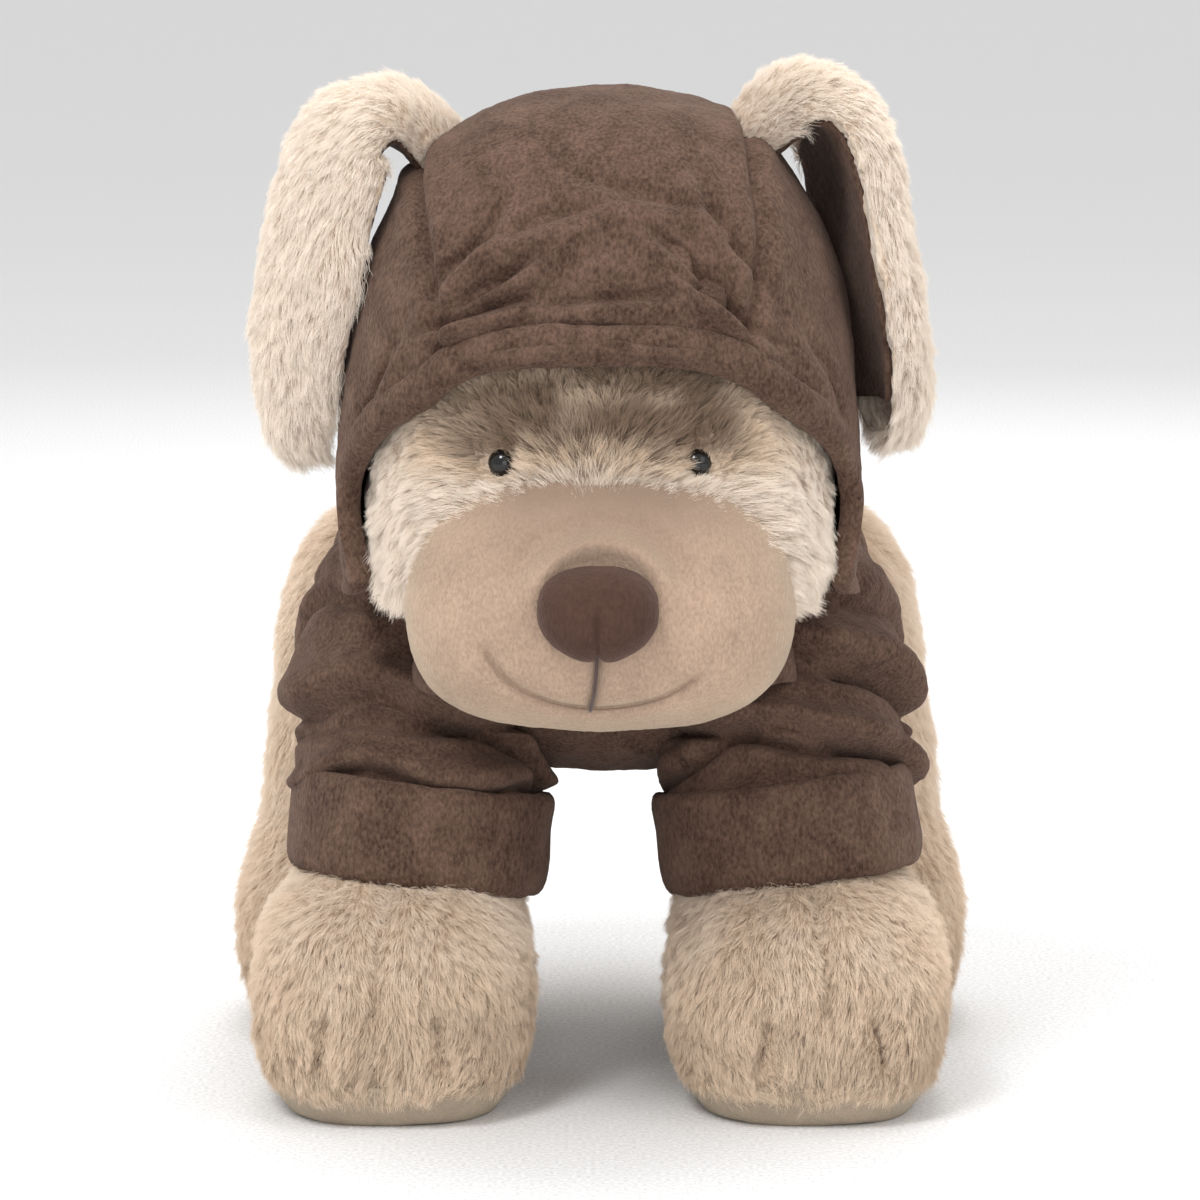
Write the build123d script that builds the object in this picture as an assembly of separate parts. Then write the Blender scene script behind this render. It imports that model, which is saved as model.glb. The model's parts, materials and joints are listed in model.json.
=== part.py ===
"""A standing plush dog in a velour hoodie, as the separate pieces that it is sewn from.

Millimetres, +Z up, nose towards -Y, the dog's left side at +X. The origin is on the ground under the
middle of the dog. Sewn skins are shells with their stuffing inside. The four legs, the neck, the head,
the two ears and the tail move against each other at their seams, so each one is a body of its own
with room to turn.
"""

from build123d import *
from dataclasses import dataclass
import os

# ---------------------------------------------------------------- cloth, seams and clearances
PLUSH_WALL = 2.5  # faux fur with its backing
CLOTH = 2.5  # velour of the hoodie
SEAM_GAP = 0.3  # between pieces that are sewn or packed together
SWING_GAP = 1.0  # between pieces that move against each other
THREAD = 0.9  # embroidery thread
THREAD_LIFT = 0.1  # thread above the cloth that it is sewn on
REACH = 400.0  # longer than the dog, for cutting tools

# Capsule shapes are given as (radius, half length over the round ends).

# ---------------------------------------------------------------- torso
TORSO_CAPSULE = (51.0, 83.0)
TORSO_Y = 32.5
TORSO_Z = 155.0

# ---------------------------------------------------------------- head and neck
HEAD_CAPSULE = (73.0, 91.0)
HEAD_FORWARD = 89.0  # head centre in front of the torso centre
HEAD_RISE = 73.0  # head centre above the torso centre
HEAD_NOD_ROOM = 12.0  # between the shoulders and the head's flat underside
HEAD_TURN_ROOM = 8.0  # between the back and the hood

NECK_RADIUS = 24.0

MUZZLE_CAPSULE = (41.0, 60.0)
MUZZLE_FORWARD = 56.0  # muzzle centre in front of the head centre
MUZZLE_DROP = 56.0  # muzzle centre below the head centre

NOSE_CAPSULE = (14.0, 18.0)
NOSE_SINK = 6.0  # nose centre behind the muzzle's front
NOSE_RISE = 3.0  # nose centre above the muzzle centre

MOUTH_HALF = (40.0, 36.0)  # the smile is the lower part of this ellipse
MOUTH_RISE = 8.0  # its centre above the muzzle centre
MOUTH_TOP_DROP = 14.0  # the ends of the smile below the muzzle centre

EYE_RADIUS = 4.6
EYE_X = 30.0
EYE_DROP = 12.0  # eyes below the head centre
EYE_DOME = 3.4
EYE_STEM_RADIUS = 1.6
EYE_STEM_LENGTH = 12.0
EYE_STEM_FIT = 0.1
EYE_WASHER_RADIUS = 6.5
EYE_WASHER_THICKNESS = 1.6

# ---------------------------------------------------------------- hood
HOOD_ROOM = 6.0  # fur between the head and the hood
HOOD_SEAM_X = 47.0  # the seams between the centre panel and the side panels
HOOD_RIM_WIDTH = 9.0
HOOD_OPEN_FORWARD = 73.0  # a point on the opening's plane, in front of and above the head centre
HOOD_OPEN_RISE = 24.0
HOOD_OPEN_LEAN = 33.0  # degrees that the opening's plane leans forward from upright

# ---------------------------------------------------------------- ears
EAR_FOLD_X = 71.0  # the fold over which an ear hangs, just outside its slit in the hood
EAR_FOLD_RISE = 2.0  # above the top of the head
EAR_BACK = 8.0  # ear centre behind the head centre
EAR_SLIT_X = 44.0  # where the ear's base goes into the head
EAR_SLIT_DROP = 25.0  # below the top of the head
EAR_THICKNESS = 16.0
EAR_ROOT_WIDTH = 54.0
EAR_WIDTH = 78.0
EAR_LENGTH = 112.0  # the hanging flap below the fold
EAR_LEAN = 20.5  # degrees that the flap hangs outwards, clear of the hood
EAR_LINING = 3.0

# ---------------------------------------------------------------- tail
TAIL_CAPSULE = (15.0, 29.4)
TAIL_RISE = 16.0  # tail root above the torso centre
TAIL_LEAN = 50.0  # degrees that the tail leans away from straight down
TAIL_ROOT = 11.0  # radius of the tail's sewn end
TAIL_WAG_ROOM = 7.0  # between the tail and the rump, beside the sewn end

# ---------------------------------------------------------------- hoodie
HOODIE_BACK = 12.0  # the hem behind the torso centre
HEM_WIDTH = 9.0
CUFF_START = 0.37  # share of the way from the shoulder to the paw's centre
CUFF_END = 0.70
CUFF_THICKNESS = 4.0
SLEEVE_END = 0.66

# ---------------------------------------------------------------- care label and paws
LABEL_SIZE = (28.0, 0.8, 20.0)
LABEL_DROP = 30.0  # label below the torso centre
SOLE_HEIGHT = 8.0
TOE_STITCH_LOW = 15.0
TOE_STITCH_HIGH = 38.0
TOE_STITCH_TURN = 24.0  # degrees between the paw's middle and a toe stitch


@dataclass
class Leg:
    """Sizes of one pair of legs. Places are for the leg at +X."""

    name: str
    inner_x: float  # the seam plane against the torso
    outer_x: float
    joint_y: float
    joint_z: float
    pad_radius: float  # the round upper end, about the joint's axis
    top_radius: float
    ankle_radius: float
    paw_x: float
    paw_y: float
    paw_z: float
    paw_radius: float
    toe_turn: float  # degrees that the toes point outwards


FRONT = Leg("front", 36, 90, -18, 133, 36, 27, 36, 68, -53, 31, 46, 14)
HIND = Leg("hind", 36, 100, 76, 130, 42, 32, 38, 76, 74, 31, 46, 18)
SIDES = {"left": 1, "right": -1}  # the dog's own left is at +X


# ---------------------------------------------------------------- places that several pieces share
def round_end(radius, rise):
    """How far a ball reaches sideways at this height above its centre."""
    return (radius**2 - rise**2) ** 0.5


TORSO_CENTRE = (0, TORSO_Y, TORSO_Z)
SHOULDER_TOP = FRONT.joint_z + FRONT.pad_radius + SEAM_GAP + CLOTH
HEAD_CENTRE = (0, TORSO_Y - HEAD_FORWARD, TORSO_Z + HEAD_RISE)
HEAD_FLOOR = SHOULDER_TOP + HEAD_NOD_ROOM
NECK_CENTRE = (0, HEAD_CENTRE[1], HEAD_FLOOR)
COLLAR_RADIUS = NECK_RADIUS + SEAM_GAP + CLOTH
MUZZLE_CENTRE = (0, HEAD_CENTRE[1] - MUZZLE_FORWARD, HEAD_CENTRE[2] - MUZZLE_DROP)
NOSE_CENTRE = (0, MUZZLE_CENTRE[1] - MUZZLE_CAPSULE[0] + NOSE_SINK, MUZZLE_CENTRE[2] + NOSE_RISE)
HOOD_OUTER = HOOD_ROOM + CLOTH
EAR_Y = HEAD_CENTRE[1] + EAR_BACK
HEAD_TOP = HEAD_CENTRE[2] + HEAD_CAPSULE[1]
EAR_FOLD = (EAR_FOLD_X, EAR_Y, HEAD_TOP + EAR_FOLD_RISE)
EAR_SLIT = (EAR_SLIT_X, EAR_Y, HEAD_TOP - EAR_SLIT_DROP)
EAR_KNUCKLE = EAR_THICKNESS / 2
RUMP_Y = TORSO_Y + TORSO_CAPSULE[1] - TORSO_CAPSULE[0]  # centre of the torso's round back end
TAIL_PLACE = (0, RUMP_Y + round_end(TORSO_CAPSULE[0], TAIL_RISE), TORSO_Z + TAIL_RISE)


# ---------------------------------------------------------------- shapes
def capsule(centre, size, grow=0.0, turn=Rot(0, 0, 0)):
    """A cylinder with round ends, along Z unless turned, and larger all round by grow."""
    radius = size[0] + grow
    to_end = size[1] - size[0]
    ends = Pos(0, 0, to_end) * Sphere(radius) + Pos(0, 0, -to_end) * Sphere(radius)
    return Pos(*centre) * turn * (Cylinder(radius, 2 * to_end) + ends)


def ball(centre, radius):
    return Pos(*centre) * Sphere(radius)


def slab(x_low, x_high, y_low, y_high, z_low, z_high):
    """A box between these planes."""
    size = (x_high - x_low, y_high - y_low, z_high - z_low)
    centre = ((x_low + x_high) / 2, (y_low + y_high) / 2, (z_low + z_high) / 2)
    return Pos(*centre) * Box(*size)


def above(z):
    return slab(-REACH, REACH, -REACH, REACH, z, REACH)


def in_front_of(y):
    return slab(-REACH, REACH, -REACH, y, -REACH, REACH)


def along_x(radius, x_low, x_high, y, z):
    """A cylinder along X."""
    return Pos((x_low + x_high) / 2, y, z) * Rot(0, 90, 0) * Cylinder(radius, x_high - x_low)


def along_y(radius, x, y, z, length):
    """A cylinder along Y about this centre."""
    return Pos(x, y, z) * Rot(90, 0, 0) * Cylinder(radius, length)


def cut(shape, tools):
    """The shape with every tool taken off it, one after the other."""
    for tool in tools:
        shape = shape - tool
    return shape


def largest(shape):
    """The largest solid, where a cut has left a crumb beside it."""
    return max(shape.solids(), key=lambda solid: solid.volume)


def mirrored(shape):
    return mirror(shape, about=Plane.YZ)


def both_sides(shape):
    return [shape, mirrored(shape)]


# ---------------------------------------------------------------- legs
def leg_pad(leg, grow):
    """The round upper end of a leg, which turns against the torso."""
    return along_x(leg.pad_radius + grow, leg.inner_x - grow, leg.outer_x + grow, leg.joint_y, leg.joint_z)


def leg_axis(leg):
    """The shank's middle line, from the joint towards the paw's centre, and its length."""
    start = ((leg.inner_x + leg.outer_x) / 2, leg.joint_y, leg.joint_z)
    run = (leg.paw_x - start[0], leg.paw_y - start[1], leg.paw_z - start[2])
    length = (run[0] ** 2 + run[1] ** 2 + run[2] ** 2) ** 0.5
    return Plane(origin=start, z_dir=run), length


def leg_shank(leg, grow, start, end):
    """The tapered leg between two distances from the joint, as shares of the way to the paw."""
    axis, length = leg_axis(leg)
    spread = leg.ankle_radius - leg.top_radius
    upper = leg.top_radius + spread * start + grow
    lower = leg.top_radius + spread * end + grow
    return axis * Pos(0, 0, length * (start + end) / 2) * Cone(upper, lower, length * (end - start))


def paw(leg, grow):
    return ball((leg.paw_x, leg.paw_y, leg.paw_z), leg.paw_radius + grow)


def leg_core(leg, grow):
    return leg_pad(leg, grow) + leg_shank(leg, grow, 0, 1) + paw(leg, grow)


def leg_room(leg, grow):
    """What the leg at +X needs of the torso and the hoodie to swing, outside its seam plane."""
    radius = leg.pad_radius + grow
    inner = leg.inner_x - grow
    turning = along_x(radius, inner, REACH / 2, leg.joint_y, leg.joint_z)
    swinging = slab(inner, REACH / 2, leg.joint_y - radius, leg.joint_y + radius, 0, leg.joint_z)
    return turning + swinging


def leg_parts(leg):
    """The sewn skin, the stuffing, the sole and the toe stitches of a leg at +X."""
    off_sole = above(SOLE_HEIGHT + SEAM_GAP)
    skin = (leg_core(leg, 0) - leg_core(leg, -PLUSH_WALL)) & off_sole
    stuffing = leg_core(leg, -PLUSH_WALL - SEAM_GAP) & off_sole
    sole = paw(leg, 0) & slab(-REACH, REACH, -REACH, REACH, 0, SOLE_HEIGHT)
    return {
        f"{leg.name}_leg_skin": skin,
        f"{leg.name}_leg_stuffing": stuffing,
        f"{leg.name}_paw_sole": sole,
        f"{leg.name}_toe_stitches": toe_stitches(leg),
    }


def toe_stitches(leg):
    """Threads up the front of the paw, as slices of a thin layer around it."""
    layer = paw(leg, THREAD_LIFT + THREAD) - paw(leg, THREAD_LIFT)
    low, high = TOE_STITCH_LOW - leg.paw_z, TOE_STITCH_HIGH - leg.paw_z
    slice_box = slab(-THREAD / 2, THREAD / 2, -REACH / 2, -leg.paw_radius / 2, low, high)
    stitches = []
    for turn in (-TOE_STITCH_TURN, TOE_STITCH_TURN):
        place = Pos(leg.paw_x, leg.paw_y, leg.paw_z) * Rot(0, 0, leg.toe_turn + turn)
        stitches.append(largest(layer & (place * slice_box)))
    return Compound(children=stitches)


def sleeve_parts():
    """The hoodie's sleeve and its turned-up cuff, over the front leg at +X."""
    leg = FRONT
    inside, outside = SEAM_GAP, SEAM_GAP + CLOTH
    outer = leg_pad(leg, outside) + leg_shank(leg, outside, 0, SLEEVE_END)
    inner = leg_pad(leg, inside) + leg_shank(leg, inside, 0, 1)
    armhole = slab(leg.inner_x, REACH / 2, -REACH, REACH, 0, REACH)
    sleeve = cut(outer, [inner, paw(leg, inside)]) & armhole
    cuff_in, cuff_out = outside + SEAM_GAP, outside + SEAM_GAP + CUFF_THICKNESS
    ring = leg_shank(leg, cuff_out, CUFF_START, CUFF_END) - leg_shank(leg, cuff_in, 0, 1)
    pad = leg_pad(leg, cuff_in)
    return {"sleeve": sleeve, "sleeve_cuff": cut(ring, [pad, paw(leg, SEAM_GAP)])}


# ---------------------------------------------------------------- torso and hoodie body
def neck_room():
    return ball(NECK_CENTRE, COLLAR_RADIUS + SWING_GAP)


def torso_room():
    """What the legs, the neck, the hooded head and the tail need of the torso to move."""
    return [
        *both_sides(leg_room(FRONT, SEAM_GAP + CLOTH + SWING_GAP)),
        *both_sides(leg_room(HIND, SWING_GAP)),
        capsule(HEAD_CENTRE, HEAD_CAPSULE, HOOD_OUTER + HEAD_TURN_ROOM) & above(SHOULDER_TOP),
        slab(-REACH, REACH, -REACH, NECK_CENTRE[1], SHOULDER_TOP, REACH),
        neck_room(),
        ball(TAIL_PLACE, TAIL_ROOT + SWING_GAP),
    ]


def torso(grow=0.0):
    return capsule(TORSO_CENTRE, TORSO_CAPSULE, grow, Rot(90, 0, 0))


def torso_parts():
    room = torso_room()
    hem_y = TORSO_Y + HOODIE_BACK
    cloth_out = SEAM_GAP + CLOTH
    cloth = (torso(cloth_out) - torso(SEAM_GAP)) & in_front_of(hem_y)
    band = torso(cloth_out + SEAM_GAP + CLOTH) - torso(cloth_out + SEAM_GAP)
    band = (band & in_front_of(hem_y)) - in_front_of(hem_y - HEM_WIDTH)
    return {
        "torso_skin": largest(cut(torso() - torso(-PLUSH_WALL), room)),
        "torso_stuffing": largest(cut(torso(-PLUSH_WALL - SEAM_GAP), room)),
        "hoodie_body": largest(cut(cloth, room)),
        "hoodie_hem": cut(band, room),
        "care_label": care_label(),
    }


def care_label():
    """A blank ribbon label that is sewn into the seam under the tail, and hangs from it."""
    width, thickness, length = LABEL_SIZE
    y = RUMP_Y + round_end(TORSO_CAPSULE[0], LABEL_DROP) + SEAM_GAP + thickness / 2
    return Pos(0, y, TORSO_Z - LABEL_DROP - length / 2) * Box(width, thickness, length)


def neck_parts():
    """The stuffed neck, with the hoodie's collar as a band around it."""
    collar = ball(NECK_CENTRE, COLLAR_RADIUS) - ball(NECK_CENTRE, NECK_RADIUS + SEAM_GAP)
    low, high = NECK_CENTRE[2] - NECK_RADIUS / 2, NECK_CENTRE[2] + NECK_RADIUS / 2
    band = slab(-REACH, REACH, -REACH, REACH, low, high)
    return {"neck_stuffing": ball(NECK_CENTRE, NECK_RADIUS), "hoodie_collar": collar & band}


def tail_parts():
    """The tail hangs from its sewn root and leans back."""

    def tail(grow):
        body = capsule((0, 0, -TAIL_CAPSULE[1]), TAIL_CAPSULE, grow)
        return Pos(*TAIL_PLACE) * Rot(TAIL_LEAN, 0, 0) * (body + Sphere(TAIL_ROOT + grow))

    against_torso = torso(TAIL_WAG_ROOM) - ball(TAIL_PLACE, TAIL_ROOT)
    return {
        "tail_skin": largest(tail(0) - tail(-PLUSH_WALL) - against_torso),
        "tail_stuffing": largest(tail(-PLUSH_WALL - SEAM_GAP) - against_torso),
    }


# ---------------------------------------------------------------- head
def eye_place(side):
    """Where an eye's stem goes into the head, as a plane whose normal points out of the head."""
    x, y = SIDES[side] * EYE_X, -round_end(HEAD_CAPSULE[0], EYE_X)
    origin = (HEAD_CENTRE[0] + x, HEAD_CENTRE[1] + y, HEAD_CENTRE[2] - EYE_DROP)
    return Plane(origin=origin, z_dir=(x, y, 0))


def safety_eye():
    """A domed plastic eye on its stem along Z, with the skin's outside at z = 0."""
    round_radius = (EYE_RADIUS**2 + EYE_DOME**2) / (2 * EYE_DOME)
    dome = ball((0, 0, SEAM_GAP + EYE_DOME - round_radius), round_radius) & above(SEAM_GAP)
    stem = Pos(0, 0, SEAM_GAP - EYE_STEM_LENGTH / 2) * Cylinder(EYE_STEM_RADIUS, EYE_STEM_LENGTH)
    return dome + stem


def eye_washer():
    """The washer that locks on the stem behind the skin, clear of the skin's curve."""
    curve = HEAD_CAPSULE[0] - round_end(HEAD_CAPSULE[0], EYE_WASHER_RADIUS)
    top = -PLUSH_WALL - SEAM_GAP - curve
    disc = Cylinder(EYE_WASHER_RADIUS, EYE_WASHER_THICKNESS)
    bore = Cylinder(EYE_STEM_RADIUS + EYE_STEM_FIT, 2 * EYE_WASHER_THICKNESS)
    return Pos(0, 0, top - EYE_WASHER_THICKNESS / 2) * (disc - bore)


def eye_parts():
    found = {}
    for side in SIDES:
        found[f"eye_{side}"] = eye_place(side) * safety_eye()
        found[f"eye_washer_{side}"] = eye_place(side) * eye_washer()
    return found


def head(grow, floor_lift):
    """The head, with its flat underside lifted by floor_lift."""
    return capsule(HEAD_CENTRE, HEAD_CAPSULE, grow) & above(HEAD_FLOOR + floor_lift)


def head_parts():
    hole = Cylinder(EYE_STEM_RADIUS + EYE_STEM_FIT, 2 * EYE_STEM_LENGTH)
    pocket_depth = EYE_STEM_LENGTH + SEAM_GAP
    pocket = Pos(0, 0, -pocket_depth / 2) * Cylinder(EYE_WASHER_RADIUS + SEAM_GAP, pocket_depth)
    wall = PLUSH_WALL
    skin = head(0, 0) - head(-wall, wall)
    stuffing = head(-wall - SEAM_GAP, wall + SEAM_GAP)
    return {
        "head_skin": cut(skin, [neck_room()] + [eye_place(side) * hole for side in SIDES]),
        "head_stuffing": cut(stuffing, [neck_room()] + [eye_place(side) * pocket for side in SIDES]),
    }


def muzzle(grow):
    return capsule(MUZZLE_CENTRE, MUZZLE_CAPSULE, grow, Rot(0, 90, 0))


def nose(grow):
    return capsule(NOSE_CENTRE, NOSE_CAPSULE, grow, Rot(0, 90, 0)) - muzzle(SEAM_GAP)


def muzzle_parts():
    """The muzzle, the stuffed velour nose on it, and the threads of nose and smile."""
    eyes = [eye_place(side) * Cylinder(EYE_RADIUS + SEAM_GAP, 4 * EYE_DOME) for side in SIDES]
    room = [head(SEAM_GAP, -SEAM_GAP), neck_room(), *eyes]
    return {
        "muzzle_skin": largest(cut(muzzle(0) - muzzle(-PLUSH_WALL), room)),
        "muzzle_stuffing": largest(cut(muzzle(-PLUSH_WALL - SEAM_GAP), room)),
        "nose_cover": nose(0) - nose(-CLOTH),
        "nose_stuffing": nose(-CLOTH - SEAM_GAP),
        "mouth_stitch": mouth_stitch(),
        "lip_stitch": lip_stitch(),
    }


def face_thread():
    """The thin layer around the muzzle's front in which its threads lie."""
    return (muzzle(THREAD_LIFT + THREAD) - muzzle(THREAD_LIFT)) & in_front_of(MUZZLE_CENTRE[1])


def mouth_stitch():
    """The smile, where the lower part of an upright elliptic tube along Y crosses the thread layer."""
    middle = (0, MUZZLE_CENTRE[1], MUZZLE_CENTRE[2] + MOUTH_RISE)
    face = Plane(origin=middle, z_dir=(0, -1, 0), x_dir=(1, 0, 0))
    wide, high = MOUTH_HALF
    half = THREAD / 2
    line = Ellipse(wide + half, high + half) - Ellipse(wide - half, high - half)
    tube = extrude(face * line, amount=2 * MUZZLE_CAPSULE[0])
    return largest((face_thread() & tube) - above(MUZZLE_CENTRE[2] - MOUTH_TOP_DROP))


def lip_stitch():
    """The upright stitches from the nose down to the smile."""
    top = NOSE_CENTRE[2] - NOSE_CAPSULE[0] - SEAM_GAP
    low = MUZZLE_CENTRE[2] + MOUTH_RISE - MOUTH_HALF[1] + THREAD
    return face_thread() & slab(-THREAD / 2, THREAD / 2, -REACH, REACH, low, top)


# ---------------------------------------------------------------- hood
def hood_layer(inner, outer):
    """A cloth layer around the head, down to the head's underside."""
    layer = capsule(HEAD_CENTRE, HEAD_CAPSULE, outer) - capsule(HEAD_CENTRE, HEAD_CAPSULE, inner)
    return layer & above(HEAD_FLOOR)


def behind_opening(back):
    """Everything behind the hood's opening, moved back from its edge by this much."""
    edge = Pos(0, HEAD_CENTRE[1] - HOOD_OPEN_FORWARD, HEAD_CENTRE[2] + HOOD_OPEN_RISE)
    return edge * Rot(HOOD_OPEN_LEAN, 0, 0) * Pos(0, back + REACH / 2, 0) * Box(REACH, REACH, REACH)


def hood_parts():
    room = [*both_sides(ear_base(SEAM_GAP)), muzzle(SEAM_GAP), neck_room()]
    cloth = cut(hood_layer(HOOD_ROOM, HOOD_OUTER) & behind_opening(0), room)
    rim_in = HOOD_OUTER + SEAM_GAP
    rim = (hood_layer(rim_in, rim_in + CLOTH) & behind_opening(0)) - behind_opening(HOOD_RIM_WIDTH)
    side = cloth & slab(HOOD_SEAM_X + SEAM_GAP, REACH / 2, -REACH, REACH, 0, REACH)
    return {
        "hood_centre_panel": cloth & slab(-HOOD_SEAM_X, HOOD_SEAM_X, -REACH, REACH, 0, REACH),
        "hood_side_panel_left": side,
        "hood_side_panel_right": mirrored(side),
        "hood_rim": rim - muzzle(SEAM_GAP),
    }


# ---------------------------------------------------------------- ears
def ear_base(grow):
    """The ear's sewn base at +X: a flat tongue from inside the head up to the fold."""
    rise = (EAR_FOLD[0] - EAR_SLIT[0], 0, EAR_FOLD[2] - EAR_SLIT[2])
    length = (rise[0] ** 2 + rise[2] ** 2) ** 0.5
    tongue = Plane(origin=EAR_SLIT, x_dir=(0, 1, 0), z_dir=rise)
    size = (EAR_ROOT_WIDTH + 2 * grow, EAR_THICKNESS + 2 * grow, length)
    return tongue * Pos(0, 0, length / 2) * Box(*size)


def ear_parts():
    """The sewn base, and the flap that hangs from the fold: plush outside, velour lining inside."""
    half, width = EAR_THICKNESS / 2, EAR_WIDTH / 2
    hang = Pos(*EAR_FOLD) * Rot(0, -EAR_LEAN, 0)
    flap_room = hang * slab(-half - SWING_GAP, REACH, -REACH, REACH, -REACH, 0)
    knuckle_room = along_y(EAR_KNUCKLE + SWING_GAP, *EAR_FOLD, REACH)
    root = cut(ear_base(0), [capsule(HEAD_CENTRE, HEAD_CAPSULE, SEAM_GAP), knuckle_room, flap_room])
    straight = EAR_LENGTH - width
    outline = Pos(0, 0, -straight) * Rot(0, 90, 0) * Cylinder(width, REACH)
    outline += slab(-REACH, REACH, -width, width, -straight, 0)
    split = EAR_LINING - half
    plush = slab(split + SEAM_GAP, half, -REACH, REACH, -REACH, 0) & outline
    lining = slab(-half, split, -REACH, REACH, -REACH, -EAR_KNUCKLE) & outline
    knuckle = along_y(EAR_KNUCKLE, 0, 0, 0, EAR_WIDTH)
    return {
        "ear_root": largest(root),
        "ear_plush": hang * (plush + knuckle),
        "ear_lining": hang * (lining - along_y(EAR_KNUCKLE + SEAM_GAP, 0, 0, 0, REACH)),
    }


# ---------------------------------------------------------------- the whole dog
def build():
    parts = {**torso_parts(), **neck_parts(), **tail_parts()}
    parts |= {**head_parts(), **eye_parts(), **muzzle_parts(), **hood_parts()}
    pairs = {**leg_parts(FRONT), **leg_parts(HIND), **sleeve_parts(), **ear_parts()}
    for name, shape in pairs.items():
        parts[f"{name}_left"] = shape
        parts[f"{name}_right"] = mirrored(shape)
    return parts


os.makedirs("parts", exist_ok=True)
for node, shape in build().items():
    export_step(shape, f"parts/{node}.step")
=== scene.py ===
"""A plush dog in a velour hoodie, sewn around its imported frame."""
import bpy
import bmesh
import json
import math
import numpy as np
from mathutils import Matrix, Vector
from mathutils.bvhtree import BVHTree
from mathutils.kdtree import KDTree
from bpy.props import FloatProperty, FloatVectorProperty, IntProperty, PointerProperty
from bpy.types import Operator, Panel, PropertyGroup


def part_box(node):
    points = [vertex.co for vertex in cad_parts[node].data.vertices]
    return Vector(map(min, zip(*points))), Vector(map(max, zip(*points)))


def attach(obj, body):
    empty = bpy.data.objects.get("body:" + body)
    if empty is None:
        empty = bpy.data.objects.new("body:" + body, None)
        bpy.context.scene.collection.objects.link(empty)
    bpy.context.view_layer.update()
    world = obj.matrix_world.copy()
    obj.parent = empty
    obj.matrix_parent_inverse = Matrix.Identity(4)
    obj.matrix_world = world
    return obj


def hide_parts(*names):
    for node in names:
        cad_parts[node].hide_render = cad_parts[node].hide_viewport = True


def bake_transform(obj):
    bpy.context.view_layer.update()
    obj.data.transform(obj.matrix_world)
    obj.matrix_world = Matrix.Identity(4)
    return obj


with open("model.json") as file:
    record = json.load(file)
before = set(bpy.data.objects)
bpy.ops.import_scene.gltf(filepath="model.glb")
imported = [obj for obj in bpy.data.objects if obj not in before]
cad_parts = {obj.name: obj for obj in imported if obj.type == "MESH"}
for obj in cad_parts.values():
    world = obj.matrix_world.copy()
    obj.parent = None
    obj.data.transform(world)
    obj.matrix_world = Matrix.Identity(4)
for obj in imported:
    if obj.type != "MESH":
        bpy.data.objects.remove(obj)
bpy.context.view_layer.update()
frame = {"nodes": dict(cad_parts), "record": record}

bl_info = {
    "name": "Plush Dog",
    "version": (1, 0, 0),
    "blender": (4, 5, 0),
    "location": "View3D > Sidebar > Plush Dog",
    "description": "Builds the sewn pieces of a plush dog in a hoodie around its frame",
    "category": "Object",
}

MM = 0.001
SIDES = {"left": 1.0, "right": -1.0}
JOINTS = {joint["name"]: joint for joint in frame["record"]["behaviour"]["joints"]}


def node_middle(node):
    """The middle of a node's box, in millimetres."""
    low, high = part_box(node)
    return (np.array(low) + np.array(high)) / 2 / MM


def joint_place(name):
    """Where a joint's axis is, in millimetres."""
    return np.array(JOINTS[name]["pos_m"]) / MM


HEAD_MIDDLE = node_middle("head_skin")
MUZZLE_MIDDLE = node_middle("muzzle_stuffing")
NOSE_MIDDLE = node_middle("nose_cover")
TORSO_MIDDLE = node_middle("torso_stuffing")
NECK_MIDDLE = node_middle("neck_stuffing")
FRONT_PAW = node_middle("front_paw_sole_left")
HIND_PAW = node_middle("hind_paw_sole_left")
HIND_JOINT = joint_place("hind_leg_left_swing")
TAIL_JOINT = joint_place("tail_wag")


# ---------------------------------------------------------------- sizes and colours
def length(name, description, default):
    return FloatProperty(name=name, description=description, default=default * MM, unit="LENGTH")


def colour(name, description, default):
    return FloatVectorProperty(
        name=name, description=description, default=default, subtype="COLOR", size=3, min=0.0, max=1.0
    )


class DogHeadSizes(PropertyGroup):
    """Sizes of the head, the muzzle and the hood"""

    face_half_width: length("Face half width", "Middle of the face to the cheeks' fur", 73)
    face_half_depth: length("Face half depth", "Middle of the head to the forehead", 71)
    crown_height: length("Crown height", "Widest level of the head to its crown", 123)
    muzzle_half_width: length("Muzzle half width", "Half the width across the jowls", 60)
    muzzle_half_height: length("Muzzle half height", "Half the height of the muzzle", 42.5)
    nose_half_width: length("Nose half width", "Half the width of the velour nose", 18.2)
    hood_gap: length("Hood gap", "Between the head's skin and the hood's inside", 8)
    cloth: length("Hoodie cloth", "Thickness of the hoodie's velour", 2.2)
    rim_width: length("Rim width", "Width of the hood's sewn edge band", 9)


class DogFurSizes(PropertyGroup):
    """Sizes and amounts of the fur"""

    face_pile: length("Face pile", "Length of the fur on the face", 11)
    ear_pile: length("Ear pile", "Length of the fur on the ears", 8)
    paw_pile: length("Paw pile", "Length of the fur on the legs", 7.5)
    body_pile: length("Body pile", "Length of the fur on the torso and tail", 9)
    strand: length("Strand", "Thickness of one strand at its root", 0.15)
    density: FloatProperty(name="Density", description="Strands on each square millimetre", default=3.0)
    seed: IntProperty(name="Seed", description="Start of the random draws", default=7)


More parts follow.
